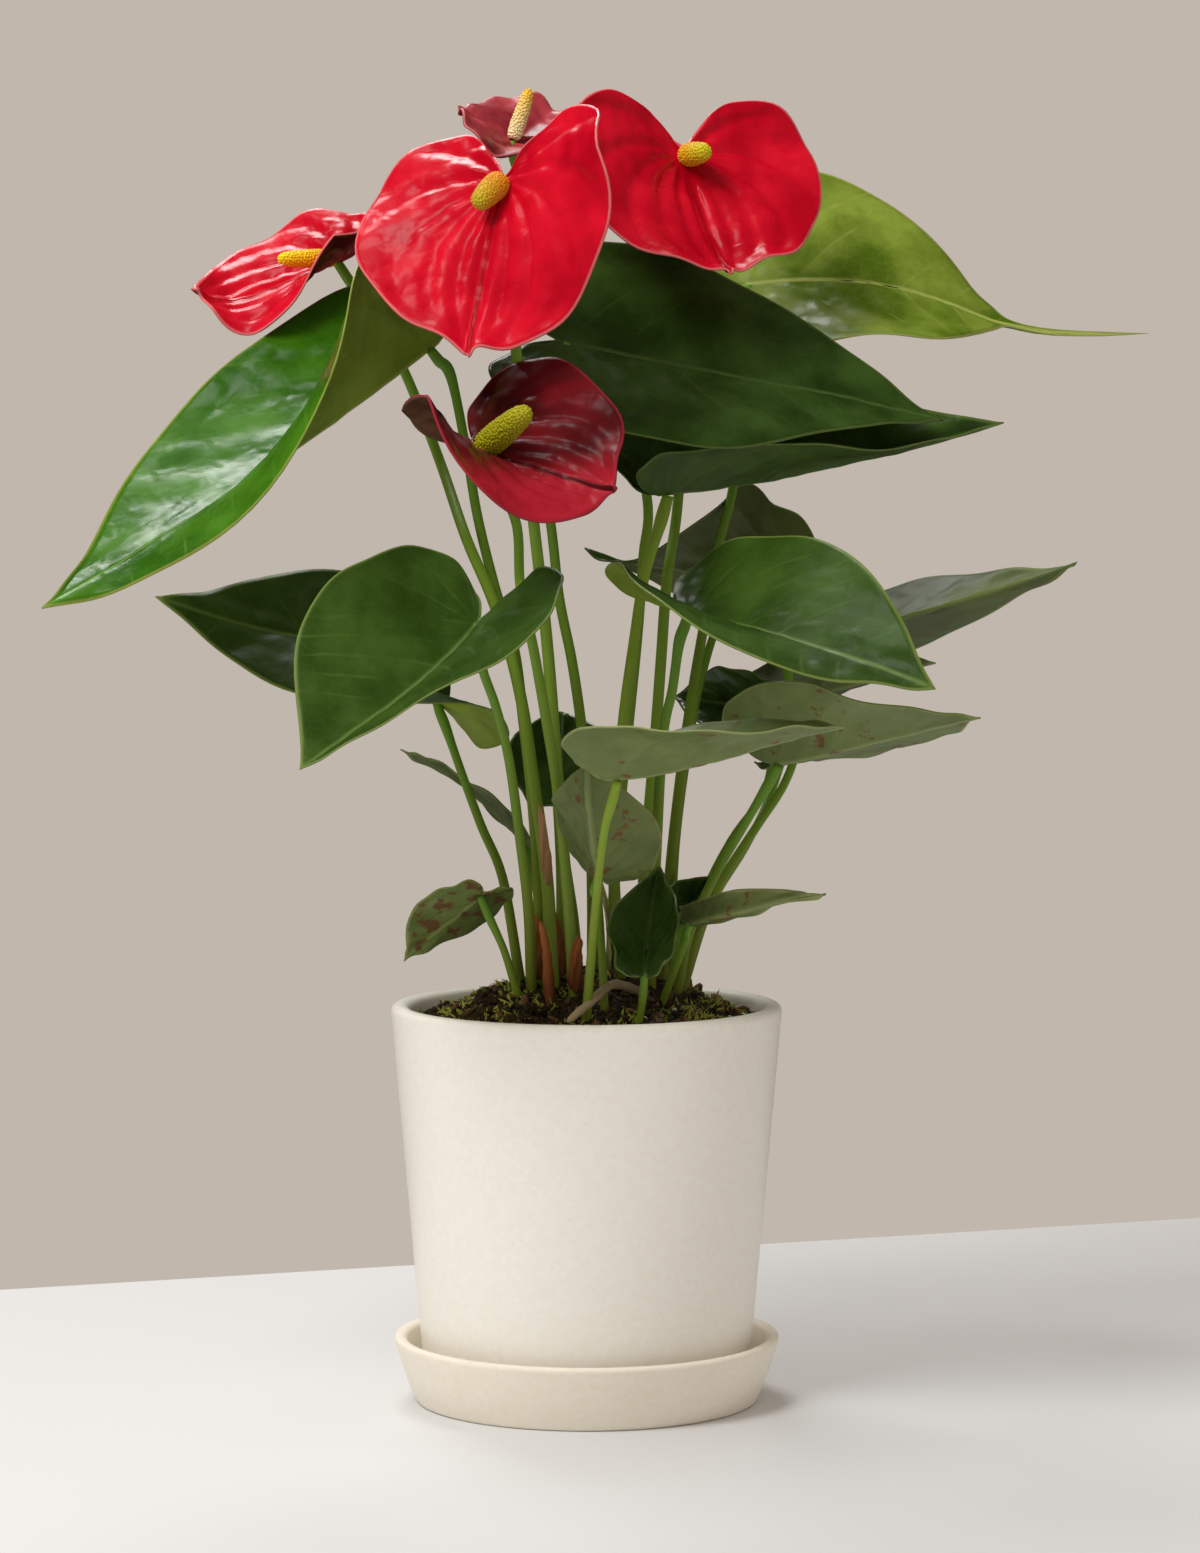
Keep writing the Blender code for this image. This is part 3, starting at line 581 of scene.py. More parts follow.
# Camera and table, in metres, degrees and millimetres of film
CAMERA_PLACE = (0.0045, -1.567, 0.312)
CAMERA_DROP = 3.79
CAMERA_LENS = 109.7
CAMERA_SENSOR = 36.0
TABLE_FAR_EDGE = ((-0.222, 0.206), (0.253, 0.377))
TABLE_OVERRUN = 1.5
TABLE_DEPTH = 3.0
TABLE_THICK = 0.03


def lay_metres(points):
    """Metres from millimetres."""
    return np.asarray(points, float) * MM


def unit(vector):
    """The vector at length one."""
    vector = np.asarray(vector, float)
    return vector / np.linalg.norm(vector)


def smooth_line(points, count):
    """count places along a Catmull-Rom curve through the points."""
    points = np.asarray(points, float)
    ends = (2 * points[0] - points[1], 2 * points[-1] - points[-2])
    points = np.vstack([ends[0], points, ends[1]])
    spans = len(points) - 3
    along = np.linspace(0, spans, count)
    first = np.minimum(along.astype(int), spans - 1)
    part = (along - first)[:, None]
    a, b, c, d = (points[first + step] for step in range(4))
    cubic = 3 * b - a - 3 * c + d
    square = 2 * a - 5 * b + 4 * c - d
    return 0.5 * (2 * b + (c - a) * part + square * part**2 + cubic * part**3)


def arc(distance, start, turn):
    """Place reached after distance along an arc that leaves at angle start and turns by turn per unit."""
    chord = distance * np.sinc(turn * distance / (2 * np.pi))
    middle = start + turn * distance / 2
    return chord * np.cos(middle), chord * np.sin(middle)


def bent(blade, length, along, across):
    """Where a place on the flat blade lies once the blade is folded, cupped, bent and twisted."""
    share = np.clip(along / length, 0, 1)
    turn = -np.radians(blade.bend) / length
    mid_x, mid_z = arc(along, 0.0, turn)
    pitch = turn * along
    on_left = across >= 0
    fold = np.radians(np.where(on_left, blade.left, blade.right)) * (1 - blade.opens * share)
    cup = np.radians(np.where(on_left, blade.cup_left, blade.cup_right)) / (blade.width / 2)
    side, rise = arc(np.abs(across), fold, cup)
    side = np.where(on_left, side, -side)
    rise = rise + blade.lobe * np.clip(-along / (LOBE_REACH * length), 0, 1.2) ** 2
    curled = np.clip(along / length - CURL_START, 0, 1) / (1 - CURL_START)
    rise = rise - blade.curl * curled**2
    twist = np.radians(blade.twist) * along / length
    level = side * np.cos(twist) - rise * np.sin(twist) + blade.sweep * share**2
    rise = side * np.sin(twist) + rise * np.cos(twist)
    return np.stack([mid_x - rise * np.sin(pitch), level, mid_z + rise * np.cos(pitch)], -1)


def axes(forward, upward):
    """Rows: forward, left and up, with up as near to upward as forward allows."""
    forward = unit(forward)
    upward = unit(np.asarray(upward, float) - np.dot(upward, forward) * forward)
    return np.stack([forward, np.cross(upward, forward), upward])


def blade_place(blade):
    """The blade's length along its midrib, and the turn from its own axes to the part's."""
    reach = np.subtract(blade.tip, blade.attach)
    length = np.linalg.norm(reach)
    for _ in range(8):
        tip = bent(blade, length, np.array(length), np.array(0.0))
        length *= np.linalg.norm(reach) / np.linalg.norm(tip)
    turned, tilt = np.radians(blade.turned), np.radians(blade.tilt)
    looks = (np.cos(tilt) * np.sin(turned), -np.cos(tilt) * np.cos(turned), np.sin(tilt))
    return length, axes(tip, (0.0, 0.0, 1.0)).T @ axes(reach, looks)


def above_rim(points):
    """Places above the pot's rim as places in the part."""
    return np.asarray(points, float) + (0.0, 0.0, RIM_Z)


def blade_normal(blade):
    """The way the upper side looks where the stem joins."""
    length, turn = blade_place(blade)
    near = 0.01
    origin, ahead, left, right = bent(
        blade, length, np.array([0, near, 0, 0]), np.array([0, 0, near, -near])
    )
    return unit(np.cross(ahead - origin, left - right) @ turn)


def tailed(outline, drip):
    """The half outline with the last share of its length drawn out as a thin tail."""
    if not drip:
        return outline
    body = [(along * (1 - drip) if along > 0 else along, across) for along, across in outline[:-1]]
    return body + [(1.02 - drip, 0.022), (1.0, 0.0)]


def linear(colour):
    """A linear colour from an sRGB hex value."""
    shades = np.array([int(colour[at : at + 2], 16) / 255 for at in (0, 2, 4)])
    bright = ((shades + 0.055) / 1.055) ** 2.4
    return (*(float(v) for v in np.where(shades <= 0.04045, shades / 12.92, bright)), 1.0)


def add(tree, kind, inputs=None, **settings):
    """A node with its settings, and with its inputs set to values or linked to sockets."""
    made = tree.nodes.new(kind)
    for name, value in settings.items():
        setattr(made, name, value)
    for name, value in (inputs or {}).items():
        if isinstance(value, bpy.types.NodeSocket):
            tree.links.new(value, made.inputs[name])
        else:
            made.inputs[name].default_value = value
    return made


def new_material(name):
    """An empty material's tree, with its Principled BSDF."""
    made = bpy.data.materials.new(name)
    made.use_nodes = True
    return made, made.node_tree, made.node_tree.nodes["Principled BSDF"]


def blade_skin(name, skin, vein_width, quilt, dark_top_heights=None):
    """Plant skin: a waxy cuticle over mottled green or red, with veins, an edge line and spots.

    The cuticle gives soft highlights that break up where the skin swells between its veins. A spathe
    given two heights in metres is darker towards the top: light at the lower one, deep at the upper.
    """
    made, tree, surface = new_material(name)
    place = add(tree, "ShaderNodeTexCoord").outputs["Object"]
    phase, pitch, from_rib, from_edge = (
        add(tree, "ShaderNodeAttribute", attribute_name=attribute).outputs["Fac"]
        for attribute in ("vein_phase", "vein_pitch", "from_rib", "from_edge")
    )
    nearest = add(tree, "ShaderNodeMath", {0: phase}, operation="ROUND").outputs[0]
    off = add(tree, "ShaderNodeMath", {0: phase, 1: nearest}, operation="SUBTRACT").outputs[0]
    off = add(tree, "ShaderNodeMath", {0: off}, operation="ABSOLUTE").outputs[0]
    from_vein = add(tree, "ShaderNodeMath", {0: off, 1: pitch}, operation="MULTIPLY").outputs[0]
    line = add(
        tree, "ShaderNodeMapRange",
        {"Value": from_vein, "From Max": vein_width, "To Min": 0.4, "To Max": 0.0},
        interpolation_type="SMOOTHSTEP",
    ).outputs[0]
    crowded = add(
        tree, "ShaderNodeMapRange", {"Value": pitch, "From Min": 1.0, "From Max": 5.0}
    ).outputs[0]
    # Veins fade in and out every couple of centimetres
    fade = add(tree, "ShaderNodeTexNoise", {"Vector": place, "Scale": 55.0}).outputs["Fac"]
    fade = add(
        tree, "ShaderNodeMapRange", {"Value": fade, "From Min": 0.42, "From Max": 0.66}
    ).outputs[0]
    crowded = add(tree, "ShaderNodeMath", {0: crowded, 1: fade}, operation="MULTIPLY").outputs[0]
    line = add(tree, "ShaderNodeMath", {0: line, 1: crowded}, operation="MULTIPLY").outputs[0]
    rib = add(
        tree, "ShaderNodeMapRange",
        {"Value": from_rib, "From Max": 1.6 * vein_width, "To Min": 1.0, "To Max": 0.0},
        interpolation_type="SMOOTHSTEP",
    ).outputs[0]
    vein = add(tree, "ShaderNodeMath", {0: line, 1: rib}, operation="MAXIMUM").outputs[0]
    # Small veins stand about 5 mm apart
    net = add(
        tree, "ShaderNodeTexVoronoi", {"Vector": place, "Scale": 200.0, "Randomness": 0.9},
        feature="DISTANCE_TO_EDGE",
    ).outputs["Distance"]
    net_line = add(
        tree, "ShaderNodeMapRange",
        {"Value": net, "From Max": 0.06, "To Min": 0.1, "To Max": 0.0},
    ).outputs[0]
    vein = add(tree, "ShaderNodeMath", {0: vein, 1: net_line}, operation="MAXIMUM").outputs[0]
    mottle = add(
        tree, "ShaderNodeTexNoise", {"Vector": place, "Scale": 45.0, "Detail": 5.0}
    ).outputs["Fac"]
    mottle = add(
        tree, "ShaderNodeMapRange", {"Value": mottle, "From Min": 0.36, "From Max": 0.64}
    ).outputs[0]
    shade = mottle
    # Darker towards the top: deep colour at the upper height, light colour at the lower one
    if dark_top_heights:
        height = add(tree, "ShaderNodeSeparateXYZ", {0: place}).outputs["Z"]
        height = add(
            tree, "ShaderNodeMapRange", {"Value": height, "From Min": dark_top_heights[1], "From Max": dark_top_heights[0]}
        ).outputs[0]
        shade = add(
            tree, "ShaderNodeMath", {0: mottle, 1: 0.35, 2: height}, operation="MULTIPLY_ADD"
        ).outputs[0]
    colour = add(
        tree, "ShaderNodeMix", {0: shade, 6: linear(skin.deep), 7: linear(skin.light)},
        data_type="RGBA",
    ).outputs[2]
    colour = add(
        tree, "ShaderNodeMix", {0: vein, 6: colour, 7: linear(skin.vein)}, data_type="RGBA"
    ).outputs[2]
    if skin.spot_share:
        specks = add(
            tree, "ShaderNodeTexNoise", {"Vector": place, "Scale": 190.0, "Detail": 3.0}
        ).outputs["Fac"]
        least = 0.67 - 0.22 * skin.spot_share
        specks = add(
            tree, "ShaderNodeMapRange",
            {"Value": specks, "From Min": least, "From Max": least + 0.05, "To Max": 0.75},
        ).outputs[0]
        colour = add(
            tree, "ShaderNodeMix", {0: specks, 6: colour, 7: linear(skin.spots)}, data_type="RGBA"
        ).outputs[2]
    # Edge colour: a leaf's pale margin, and on a spathe a painted highlight along its rim
    edge = add(
        tree, "ShaderNodeMapRange",
        {"Value": from_edge, "From Min": 0.2, "From Max": 0.8, "To Min": 0.55, "To Max": 0.0},
    ).outputs[0]
    colour = add(
        tree, "ShaderNodeMix", {0: edge, 6: colour, 7: linear(skin.edge)}, data_type="RGBA"
    ).outputs[2]
    # The skin swells in soft cushions about 9 mm across
    swell = add(
        tree, "ShaderNodeTexNoise", {"Vector": place, "Scale": 110.0, "Detail": 1.5, "Distortion": 0.4}
    ).outputs["Fac"]
    swell = add(
        tree, "ShaderNodeMath", {0: net_line, 1: -0.1, 2: swell}, operation="MULTIPLY_ADD"
    ).outputs[0]
    bump = add(
        tree, "ShaderNodeBump", {"Height": swell, "Strength": 1.0, "Distance": quilt * MM}
    ).outputs["Normal"]
    gloss = add(
        tree, "ShaderNodeMapRange",
        {"Value": mottle, "To Min": skin.roughness, "To Max": skin.roughness + 0.09},
    ).outputs[0]
    tree.links.new(colour, surface.inputs["Base Color"])
    tree.links.new(gloss, surface.inputs["Roughness"])
    tree.links.new(bump, surface.inputs["Normal"])
    surface.inputs["IOR"].default_value = CUTICLE_IOR
    return made


def run_skin(name, low, high, roughness, streak, bump_size, scale=(400.0, 400.0, 60.0)):
    """Stalk skin: colour that turns from its foot to its tip, with fine lengthwise streaks."""
    made, tree, surface = new_material(name)
    place = add(tree, "ShaderNodeTexCoord").outputs["Object"]
    run = add(tree, "ShaderNodeAttribute", attribute_name="run").outputs["Fac"]
    stretched = add(
        tree, "ShaderNodeVectorMath", {0: place, 1: scale}, operation="MULTIPLY"
    ).outputs[0]
    streaks = add(
        tree, "ShaderNodeTexNoise", {"Vector": stretched, "Scale": 1.0, "Detail": 4.0}
    ).outputs["Fac"]
    at = add(
        tree, "ShaderNodeMath", {0: streaks, 1: streak, 2: run}, operation="MULTIPLY_ADD"
    ).outputs[0]
    at = add(
        tree, "ShaderNodeMapRange", {"Value": at, "From Min": 0.5 * streak, "From Max": 1 + 0.5 * streak}
    ).outputs[0]
    colour = add(
        tree, "ShaderNodeMix", {0: at, 6: linear(low), 7: linear(high)}, data_type="RGBA"
    ).outputs[2]
    bump = add(
        tree, "ShaderNodeBump", {"Height": streaks, "Strength": 0.5, "Distance": bump_size * MM}
    ).outputs["Normal"]
    tree.links.new(colour, surface.inputs["Base Color"])
    tree.links.new(bump, surface.inputs["Normal"])
    surface.inputs["Roughness"].default_value = roughness
    surface.inputs["IOR"].default_value = CUTICLE_IOR
    return made


def grainy(name, deep, light, roughness, scale, bump_size, detail=4.0, specks=None):
    """Glaze, soil, bark or perlite: two shades mottled at one scale, with a grain of that size."""
    made, tree, surface = new_material(name)
    place = add(tree, "ShaderNodeTexCoord").outputs["Object"]
    grain = add(
        tree, "ShaderNodeTexNoise", {"Vector": place, "Scale": scale, "Detail": detail}
    ).outputs["Fac"]
    spread = add(
        tree, "ShaderNodeMapRange", {"Value": grain, "From Min": 0.35, "From Max": 0.65}
    ).outputs[0]
    colour = add(
        tree, "ShaderNodeMix", {0: spread, 6: linear(deep), 7: linear(light)}, data_type="RGBA"
    ).outputs[2]
    if specks:
        # Iron specks in the clay are about half a millimetre across and lie 4 mm apart
        dots = add(
            tree, "ShaderNodeTexVoronoi", {"Vector": place, "Scale": 260.0}
        ).outputs["Distance"]
        dots = add(
            tree, "ShaderNodeMapRange",
            {"Value": dots, "From Min": 0.05, "From Max": 0.11, "To Min": 0.35, "To Max": 0.0},
        ).outputs[0]
        colour = add(
            tree, "ShaderNodeMix", {0: dots, 6: colour, 7: linear(specks)}, data_type="RGBA"
        ).outputs[2]
    bump = add(
        tree, "ShaderNodeBump", {"Height": grain, "Strength": 0.4, "Distance": bump_size * MM}
    ).outputs["Normal"]
    tree.links.new(colour, surface.inputs["Base Color"])
    tree.links.new(bump, surface.inputs["Normal"])
    surface.inputs["Roughness"].default_value = roughness
    surface.inputs["IOR"].default_value = GLAZE_IOR
    return made


def piece_from(name, places, faces, materials, fields=None, replaced=()):
    """A piece that rides on the plant, from places in millimetres."""
    mesh = bpy.data.meshes.new(name)
    mesh.from_pydata(lay_metres(places).tolist(), [], faces)
    for field, values in (fields or {}).items():
        mesh.attributes.new(field, "FLOAT", "POINT").data.foreach_set("value", values)
    for surface in materials:
        mesh.materials.append(surface)
    mesh.shade_smooth()
    mesh.update()
    made = bpy.data.objects.new(name, mesh)
    bpy.context.scene.collection.objects.link(made)
    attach(made, BODY)
    for node in replaced:
        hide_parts(node)
    return made


def leaf_phase(x, y):
    """Leaf vein number at a place: side veins arch from the midrib and the lobe's veins radiate."""
    start = x - 0.55 * y - 1.2 * y**2
    reach = np.hypot(x, y)
    first = np.arctan2(1.0, 0.55 + 0.96 * reach)
    back = -(np.arctan2(y, x) - first) * LEAF_VEINS.basal
    return np.where(start >= 0, start * LEAF_VEINS.count, back)


def spathe_phase(x, y):
    """Spathe vein number at a place: veins leave the joint, arch and meet again at the tip."""
    return (np.arctan2(y, x) + np.arctan2(y, 1.0 - x)) * SPATHE_VEINS.count / np.pi


def blade_edge(blade, outline, veins, length, draw):
    """The flat blade's edge, which wanders in and out between notch and tip, and its angles round."""
    half = smooth_line(tailed(outline, blade.drip), BLADE_SPOKES // 2 + 1)
    edge = np.vstack([half, half[-2:0:-1] * (1, -1)]) * (length, blade.width)
    round_way = np.linspace(0, 2 * np.pi, len(edge), endpoint=False)
    wander = sum(np.sin(waves * round_way + draw.uniform(0, 2 * np.pi)) for waves in WANDER_WAVES)
    wander *= np.sin(round_way / 2) ** 2 * np.cos(round_way / 2) ** 2
    return edge * (1 + veins.wander * wander[:, None]), round_way


def vein_fields(along, across, length, phase_of):
    """At each place: the vein number, the gap between veins and the distance from the nearest one."""
    x, y, step = along / length, np.abs(across) / length, 0.004
    phase = phase_of(x, y)
    slope = np.hypot(phase_of(x + step, y) - phase, phase_of(x, y + step) - phase) / step
    pitch = np.minimum(length / np.maximum(slope, 1e-3), MOST_VEIN_GAP)
    return phase, pitch, np.abs(phase - np.round(phase)) * pitch


def swelling(along, across, draw):
    """Soft swellings of the skin, as waves that run every way."""
    swell = np.zeros(len(along))
    for _ in range(SWELL_WAVES):
        wave, shift = draw.normal(0, 1, 2) * SWELL_PITCH, draw.uniform(0, 2 * np.pi)
        swell += np.sin(wave[0] * along + wave[1] * across + shift) / 5
    return swell


def rippling(angle, out, draw):
    """Waves up and down that grow towards the edge."""
    ripple = sum(np.sin(waves * angle + draw.uniform(0, 2 * np.pi)) / 2 for waves in RIPPLE_WAVES)
    return ripple * RIPPLE_GROWTH * np.clip(out - RIPPLE_START, 0, 1) ** 2


def blade_piece(name, blade, outline, veins, phase_of, seed, materials, node):
    """A leaf or spathe: a fine disc from the stem's joint, grooved at its veins and waved at its edge."""
    length, turn = blade_place(blade)
    draw = np.random.default_rng(seed)
    edge, round_way = blade_edge(blade, outline, veins, length, draw)
    spokes = len(edge)
    ring = np.linspace(0, 1, BLADE_RINGS + 1)[1:]
    flat = np.vstack([[(0.0, 0.0)], (ring[:, None, None] * edge[None]).reshape(-1, 2)])
    along, across = flat.T
    phase, pitch, from_vein = vein_fields(along, across, length, phase_of)
    from_rib = np.abs(across)
    out = np.concatenate([[0.0], np.repeat(ring, spokes)])
    angle = np.concatenate([[0.0], np.tile(round_way, BLADE_RINGS)])
    reach = np.concatenate([[1.0], np.tile(np.linalg.norm(edge, axis=1), BLADE_RINGS)])
    from_edge = (1 - out) * np.minimum(reach, blade.width / 2)
    groove = np.exp(-((from_vein / veins.width) ** 2)) + np.exp(-((from_rib / veins.width) ** 2))
    inside = np.clip(from_edge / 4, 0, 1) * np.clip(out / 0.12, 0, 1)
    swell = swelling(along, across, draw)
    lift = (-veins.groove * np.minimum(groove, 1) + veins.bullate * swell) * inside
    lift += veins.ripple * rippling(angle, out, draw)
    near = 0.05
    middle = bent(blade, length, along, across)
    forward = bent(blade, length, along + near, across) - middle
    leftward = bent(blade, length, along, across + near) - middle
    normal = np.cross(forward, leftward)
    normal /= np.linalg.norm(normal, axis=1)[:, None]
    places = above_rim((middle + normal * lift[:, None]) @ turn + blade.attach)
    faces = [(0, 1 + (spoke + 1) % spokes, 1 + spoke) for spoke in range(spokes)]
    for at in range(BLADE_RINGS - 1):
        low, high = 1 + at * spokes, 1 + (at + 1) * spokes
        for spoke in range(spokes):
            ahead = (spoke + 1) % spokes
            faces.append((low + spoke, low + ahead, high + ahead, high + spoke))
    fields = {
        "vein_phase": phase, "vein_pitch": pitch, "from_rib": from_rib, "from_edge": from_edge,
    }
    made = piece_from(name, places, faces, materials, fields, [node])
    solid = made.modifiers.new("Thickness", "SOLIDIFY")
    solid.thickness = veins.thick * MM
    solid.offset = 0.0
    solid.material_offset = 1
    return made


def sweep(line, radii, sides):
    """Places and faces of a closed round tube along a line, and each place's share of the run."""
    line = np.asarray(line, float)
    along = np.gradient(line, axis=0)
    along /= np.linalg.norm(along, axis=1)[:, None]
    across = unit(np.cross(along[0], (0.3, 0.9, 0.1)))
    angle = np.linspace(0, 2 * np.pi, sides, endpoint=False)
    places = [line[0]]
    for place, forward, radius in zip(line, along, radii):
        across = unit(across - (across @ forward) * forward)
        other = np.cross(forward, across)
        places.extend(place + radius * (np.cos(a) * across + np.sin(a) * other) for a in angle)
    places.append(line[-1])
    faces = []
    for side in range(sides):
        ahead = (side + 1) % sides
        faces.append((0, 1 + ahead, 1 + side))
        for at in range(len(line) - 1):
            low, high = 1 + at * sides, 1 + (at + 1) * sides
            faces.append((low + side, low + ahead, high + ahead, high + side))
        last = 1 + (len(line) - 1) * sides
        faces.append((len(places) - 1, last + side, last + ahead))
    steps = np.concatenate([[0], np.cumsum(np.linalg.norm(np.diff(line, axis=0), axis=1))])
    run = np.concatenate([[0], np.repeat(steps / steps[-1], sides), [1]])
    return places, faces, run


def soil_radius():
    """Radius of the soil's upper edge."""
    share = (SOIL_EDGE_Z - POT_BASE_Z) / (RIM_Z - POT_BASE_Z)
    return POT_BASE_RADIUS + (POT_RADIUS - POT_BASE_RADIUS) * share - POT_WALL - FIT


def soil_height(x, y):
    """Height of the soil's mound at a place."""
    share = np.minimum(np.hypot(x, y) / soil_radius(), 1.0)
    return SOIL_EDGE_Z + SOIL_MOUND * np.maximum(np.cos(share * np.pi / 2), 0) ** 1.3


def stem_line(blade, stem):
    """Places along a stem, from its socket into its blade's joint."""
    x, y = stem.foot
    foot = np.array([x, y, soil_height(x, y)])
    via = [above_rim(point) for point in stem.via]
    joint, normal = above_rim(blade.attach), blade_normal(blade)
    run = unit(joint - via[-1])
    level = run - (run @ normal) * normal
    lean = min(np.arccos(run @ normal), np.radians(END_LEAN))
    run = np.cos(lean) * normal + np.sin(lean) * level / max(np.linalg.norm(level), 1e-6)
    top = joint - normal * 0.3
    neck = top - run * min(NECK, 0.4 * np.linalg.norm(top - via[-1]))
    start = unit(via[0] - foot)
    line = [foot - start * SOCKET_DEPTH, foot + start * SOCKET_RISE, *via, neck, top - run * STRAIGHT_END]
    return np.vstack([smooth_line(line, STEM_SPAN_POINTS * (len(line) - 1) + 1), top])


def distance_left(line):
    """Distance from each place to the line's end."""
    steps = np.linalg.norm(np.diff(line, axis=0), axis=1)
    return np.concatenate([np.cumsum(steps[::-1])[::-1], [0.0]])


def stem_piece(name, line, radii, materials, node):
    """A stalk along its line, with its run from foot to blade kept for the colour."""
    places, faces, run = sweep(line, radii, STEM_SIDES)
    return piece_from(name, places, faces, materials, {"run": run}, [node] if node else [])


def stalk_radii(line, stem, knee):
    """Stalk radius at each place: thickest at the soil, with a slight knee under the blade."""
    left = distance_left(line)
    share = 1 - left / left[0]
    radii = stem.thin + (stem.thick - stem.thin) * (1 - share) ** 1.5
    return STALK_SHARE * radii * (1 + knee * np.exp(-(((left - 7) / 6) ** 2)))


def turned(name, profile, materials, node, slot):
    """A turned piece from its half section, given from the axis round and back to it."""
    places, faces, rings = [], [], []
    angle = np.linspace(0, 2 * np.pi, TURN_STEPS, endpoint=False)
    for radius, height in profile:
        if radius == 0:
            rings.append([len(places)] * TURN_STEPS)
            places.append((0.0, 0.0, height))
        else:
            rings.append(list(range(len(places), len(places) + TURN_STEPS)))
            places.extend((radius * np.cos(a), radius * np.sin(a), height) for a in angle)
    for low, high in zip(rings, rings[1:] + rings[:1]):
        for step in range(TURN_STEPS):
            ahead = (step + 1) % TURN_STEPS
            face = list(dict.fromkeys((low[step], low[ahead], high[ahead], high[step])))
            if len(face) > 2:
                faces.append(face)
    return piece_from(name, places, faces, materials, None, [node])


def rounded(corner, before, after, radius, steps=6):
    """The corner of a half section, rounded between the places before and after it."""
    start = corner + unit(np.subtract(before, corner)) * radius
    end = corner + unit(np.subtract(after, corner)) * radius
    share = np.linspace(0, 1, steps)[:, None]
    return ((1 - share) ** 2 * start + 2 * share * (1 - share) * corner + share**2 * end).tolist()


def softened(profile, sizes):
    """A half section with each inner corner rounded by its size, and the places at its ends kept."""
    profile = [np.asarray(place, float) for place in profile]
    out = [profile[0].tolist()]
    for at, size in zip(range(1, len(profile) - 1), sizes):
        if size:
            out.extend(rounded(profile[at], profile[at - 1], profile[at + 1], size))
        else:
            out.append(profile[at].tolist())
    out.append(profile[-1].tolist())
    return out


def pot_profile():
    """Half section of the pot, from the drain hole's foot out, up, over the rim and down inside."""
    rim = RIM_Z
    inner = POT_RADIUS - POT_WALL
    base, floor = POT_BASE_Z, POT_BASE_Z + POT_FLOOR
    return softened(
        [
            (DRAIN_RADIUS, base), (POT_BASE_RADIUS, base), (POT_RADIUS, rim), (inner, rim),
            (POT_BASE_RADIUS - POT_WALL, floor), (DRAIN_RADIUS, floor),
        ],
        (1.5, POT_RIM_ROUND, POT_RIM_ROUND, 2.0),
    )


def saucer_profile():
    """Half section of the saucer, from under its middle out, up, over the lip and back over its floor."""
    rim = SAUCER_RADIUS
    return softened(
        [
            (0.0, SAUCER_FOOT_RISE), (SAUCER_FOOT_RADIUS - 4, SAUCER_FOOT_RISE),
            (SAUCER_FOOT_RADIUS - 3, 0.0), (SAUCER_FOOT_RADIUS, 0.0), (SAUCER_FLARE_RADIUS, 7.0),
            (rim, SAUCER_TOP), (rim - SAUCER_WALL, SAUCER_TOP),
            (SAUCER_FLARE_RADIUS - SAUCER_WALL, SAUCER_FLOOR), (0.0, SAUCER_FLOOR),
        ],
        (0.5, 0.5, 1.2, 4.0, 1.9, 1.9, 3.0),
    )


def soil_piece(materials):
    """The soil: a lumpy mound over a plug that fills the top of the pot."""
    draw = np.random.default_rng(5)
    rings, spokes = SOIL_RINGS, SOIL_SPOKES
    share = np.linspace(0, 1, rings + 1)[1:]
    angle = np.linspace(0, 2 * np.pi, spokes, endpoint=False)
    radius = soil_radius()
    x = np.concatenate([[0.0], np.outer(share, np.cos(angle)).ravel()]) * radius
    y = np.concatenate([[0.0], np.outer(share, np.sin(angle)).ravel()]) * radius
    lumps = np.zeros(len(x))
    for wavelength, height in ((30, 1.1), (14, 0.9), (7, 0.6), (4, 0.35)):
        for _ in range(6):
            turn, shift = draw.uniform(0, 2 * np.pi, 2)
            wave = 2 * np.pi / wavelength
            lumps += height / 3 * np.sin(wave * (x * np.cos(turn) + y * np.sin(turn)) + shift)
    edge = np.clip((radius - np.hypot(x, y)) / 3, 0, 1)
    top = np.column_stack([x, y, soil_height(x, y) - 0.6 + lumps * edge])
    deep = SOIL_EDGE_Z - SOIL_DEPTH
    slope = (POT_RADIUS - POT_BASE_RADIUS) / (RIM_Z - POT_BASE_Z)
    last = top[-spokes:]
    low = last * ((radius - slope * SOIL_DEPTH) / radius, (radius - slope * SOIL_DEPTH) / radius, 0)
    low += (0, 0, deep)
    places = np.vstack([top, low, [(0.0, 0.0, deep)]])
    faces = [(0, 1 + step, 1 + (step + 1) % spokes) for step in range(spokes)]
    for at in range(rings):
        first, second = 1 + at * spokes, 1 + (at + 1) * spokes
        for step in range(spokes):
            ahead = (step + 1) % spokes
            faces.append((first + step, second + step, second + ahead, first + ahead))
    base = 1 + rings * spokes
    faces += [(base + step, len(places) - 1, base + (step + 1) % spokes) for step in range(spokes)]
    return piece_from("soil_bed", places, faces, materials, None, ["soil"])


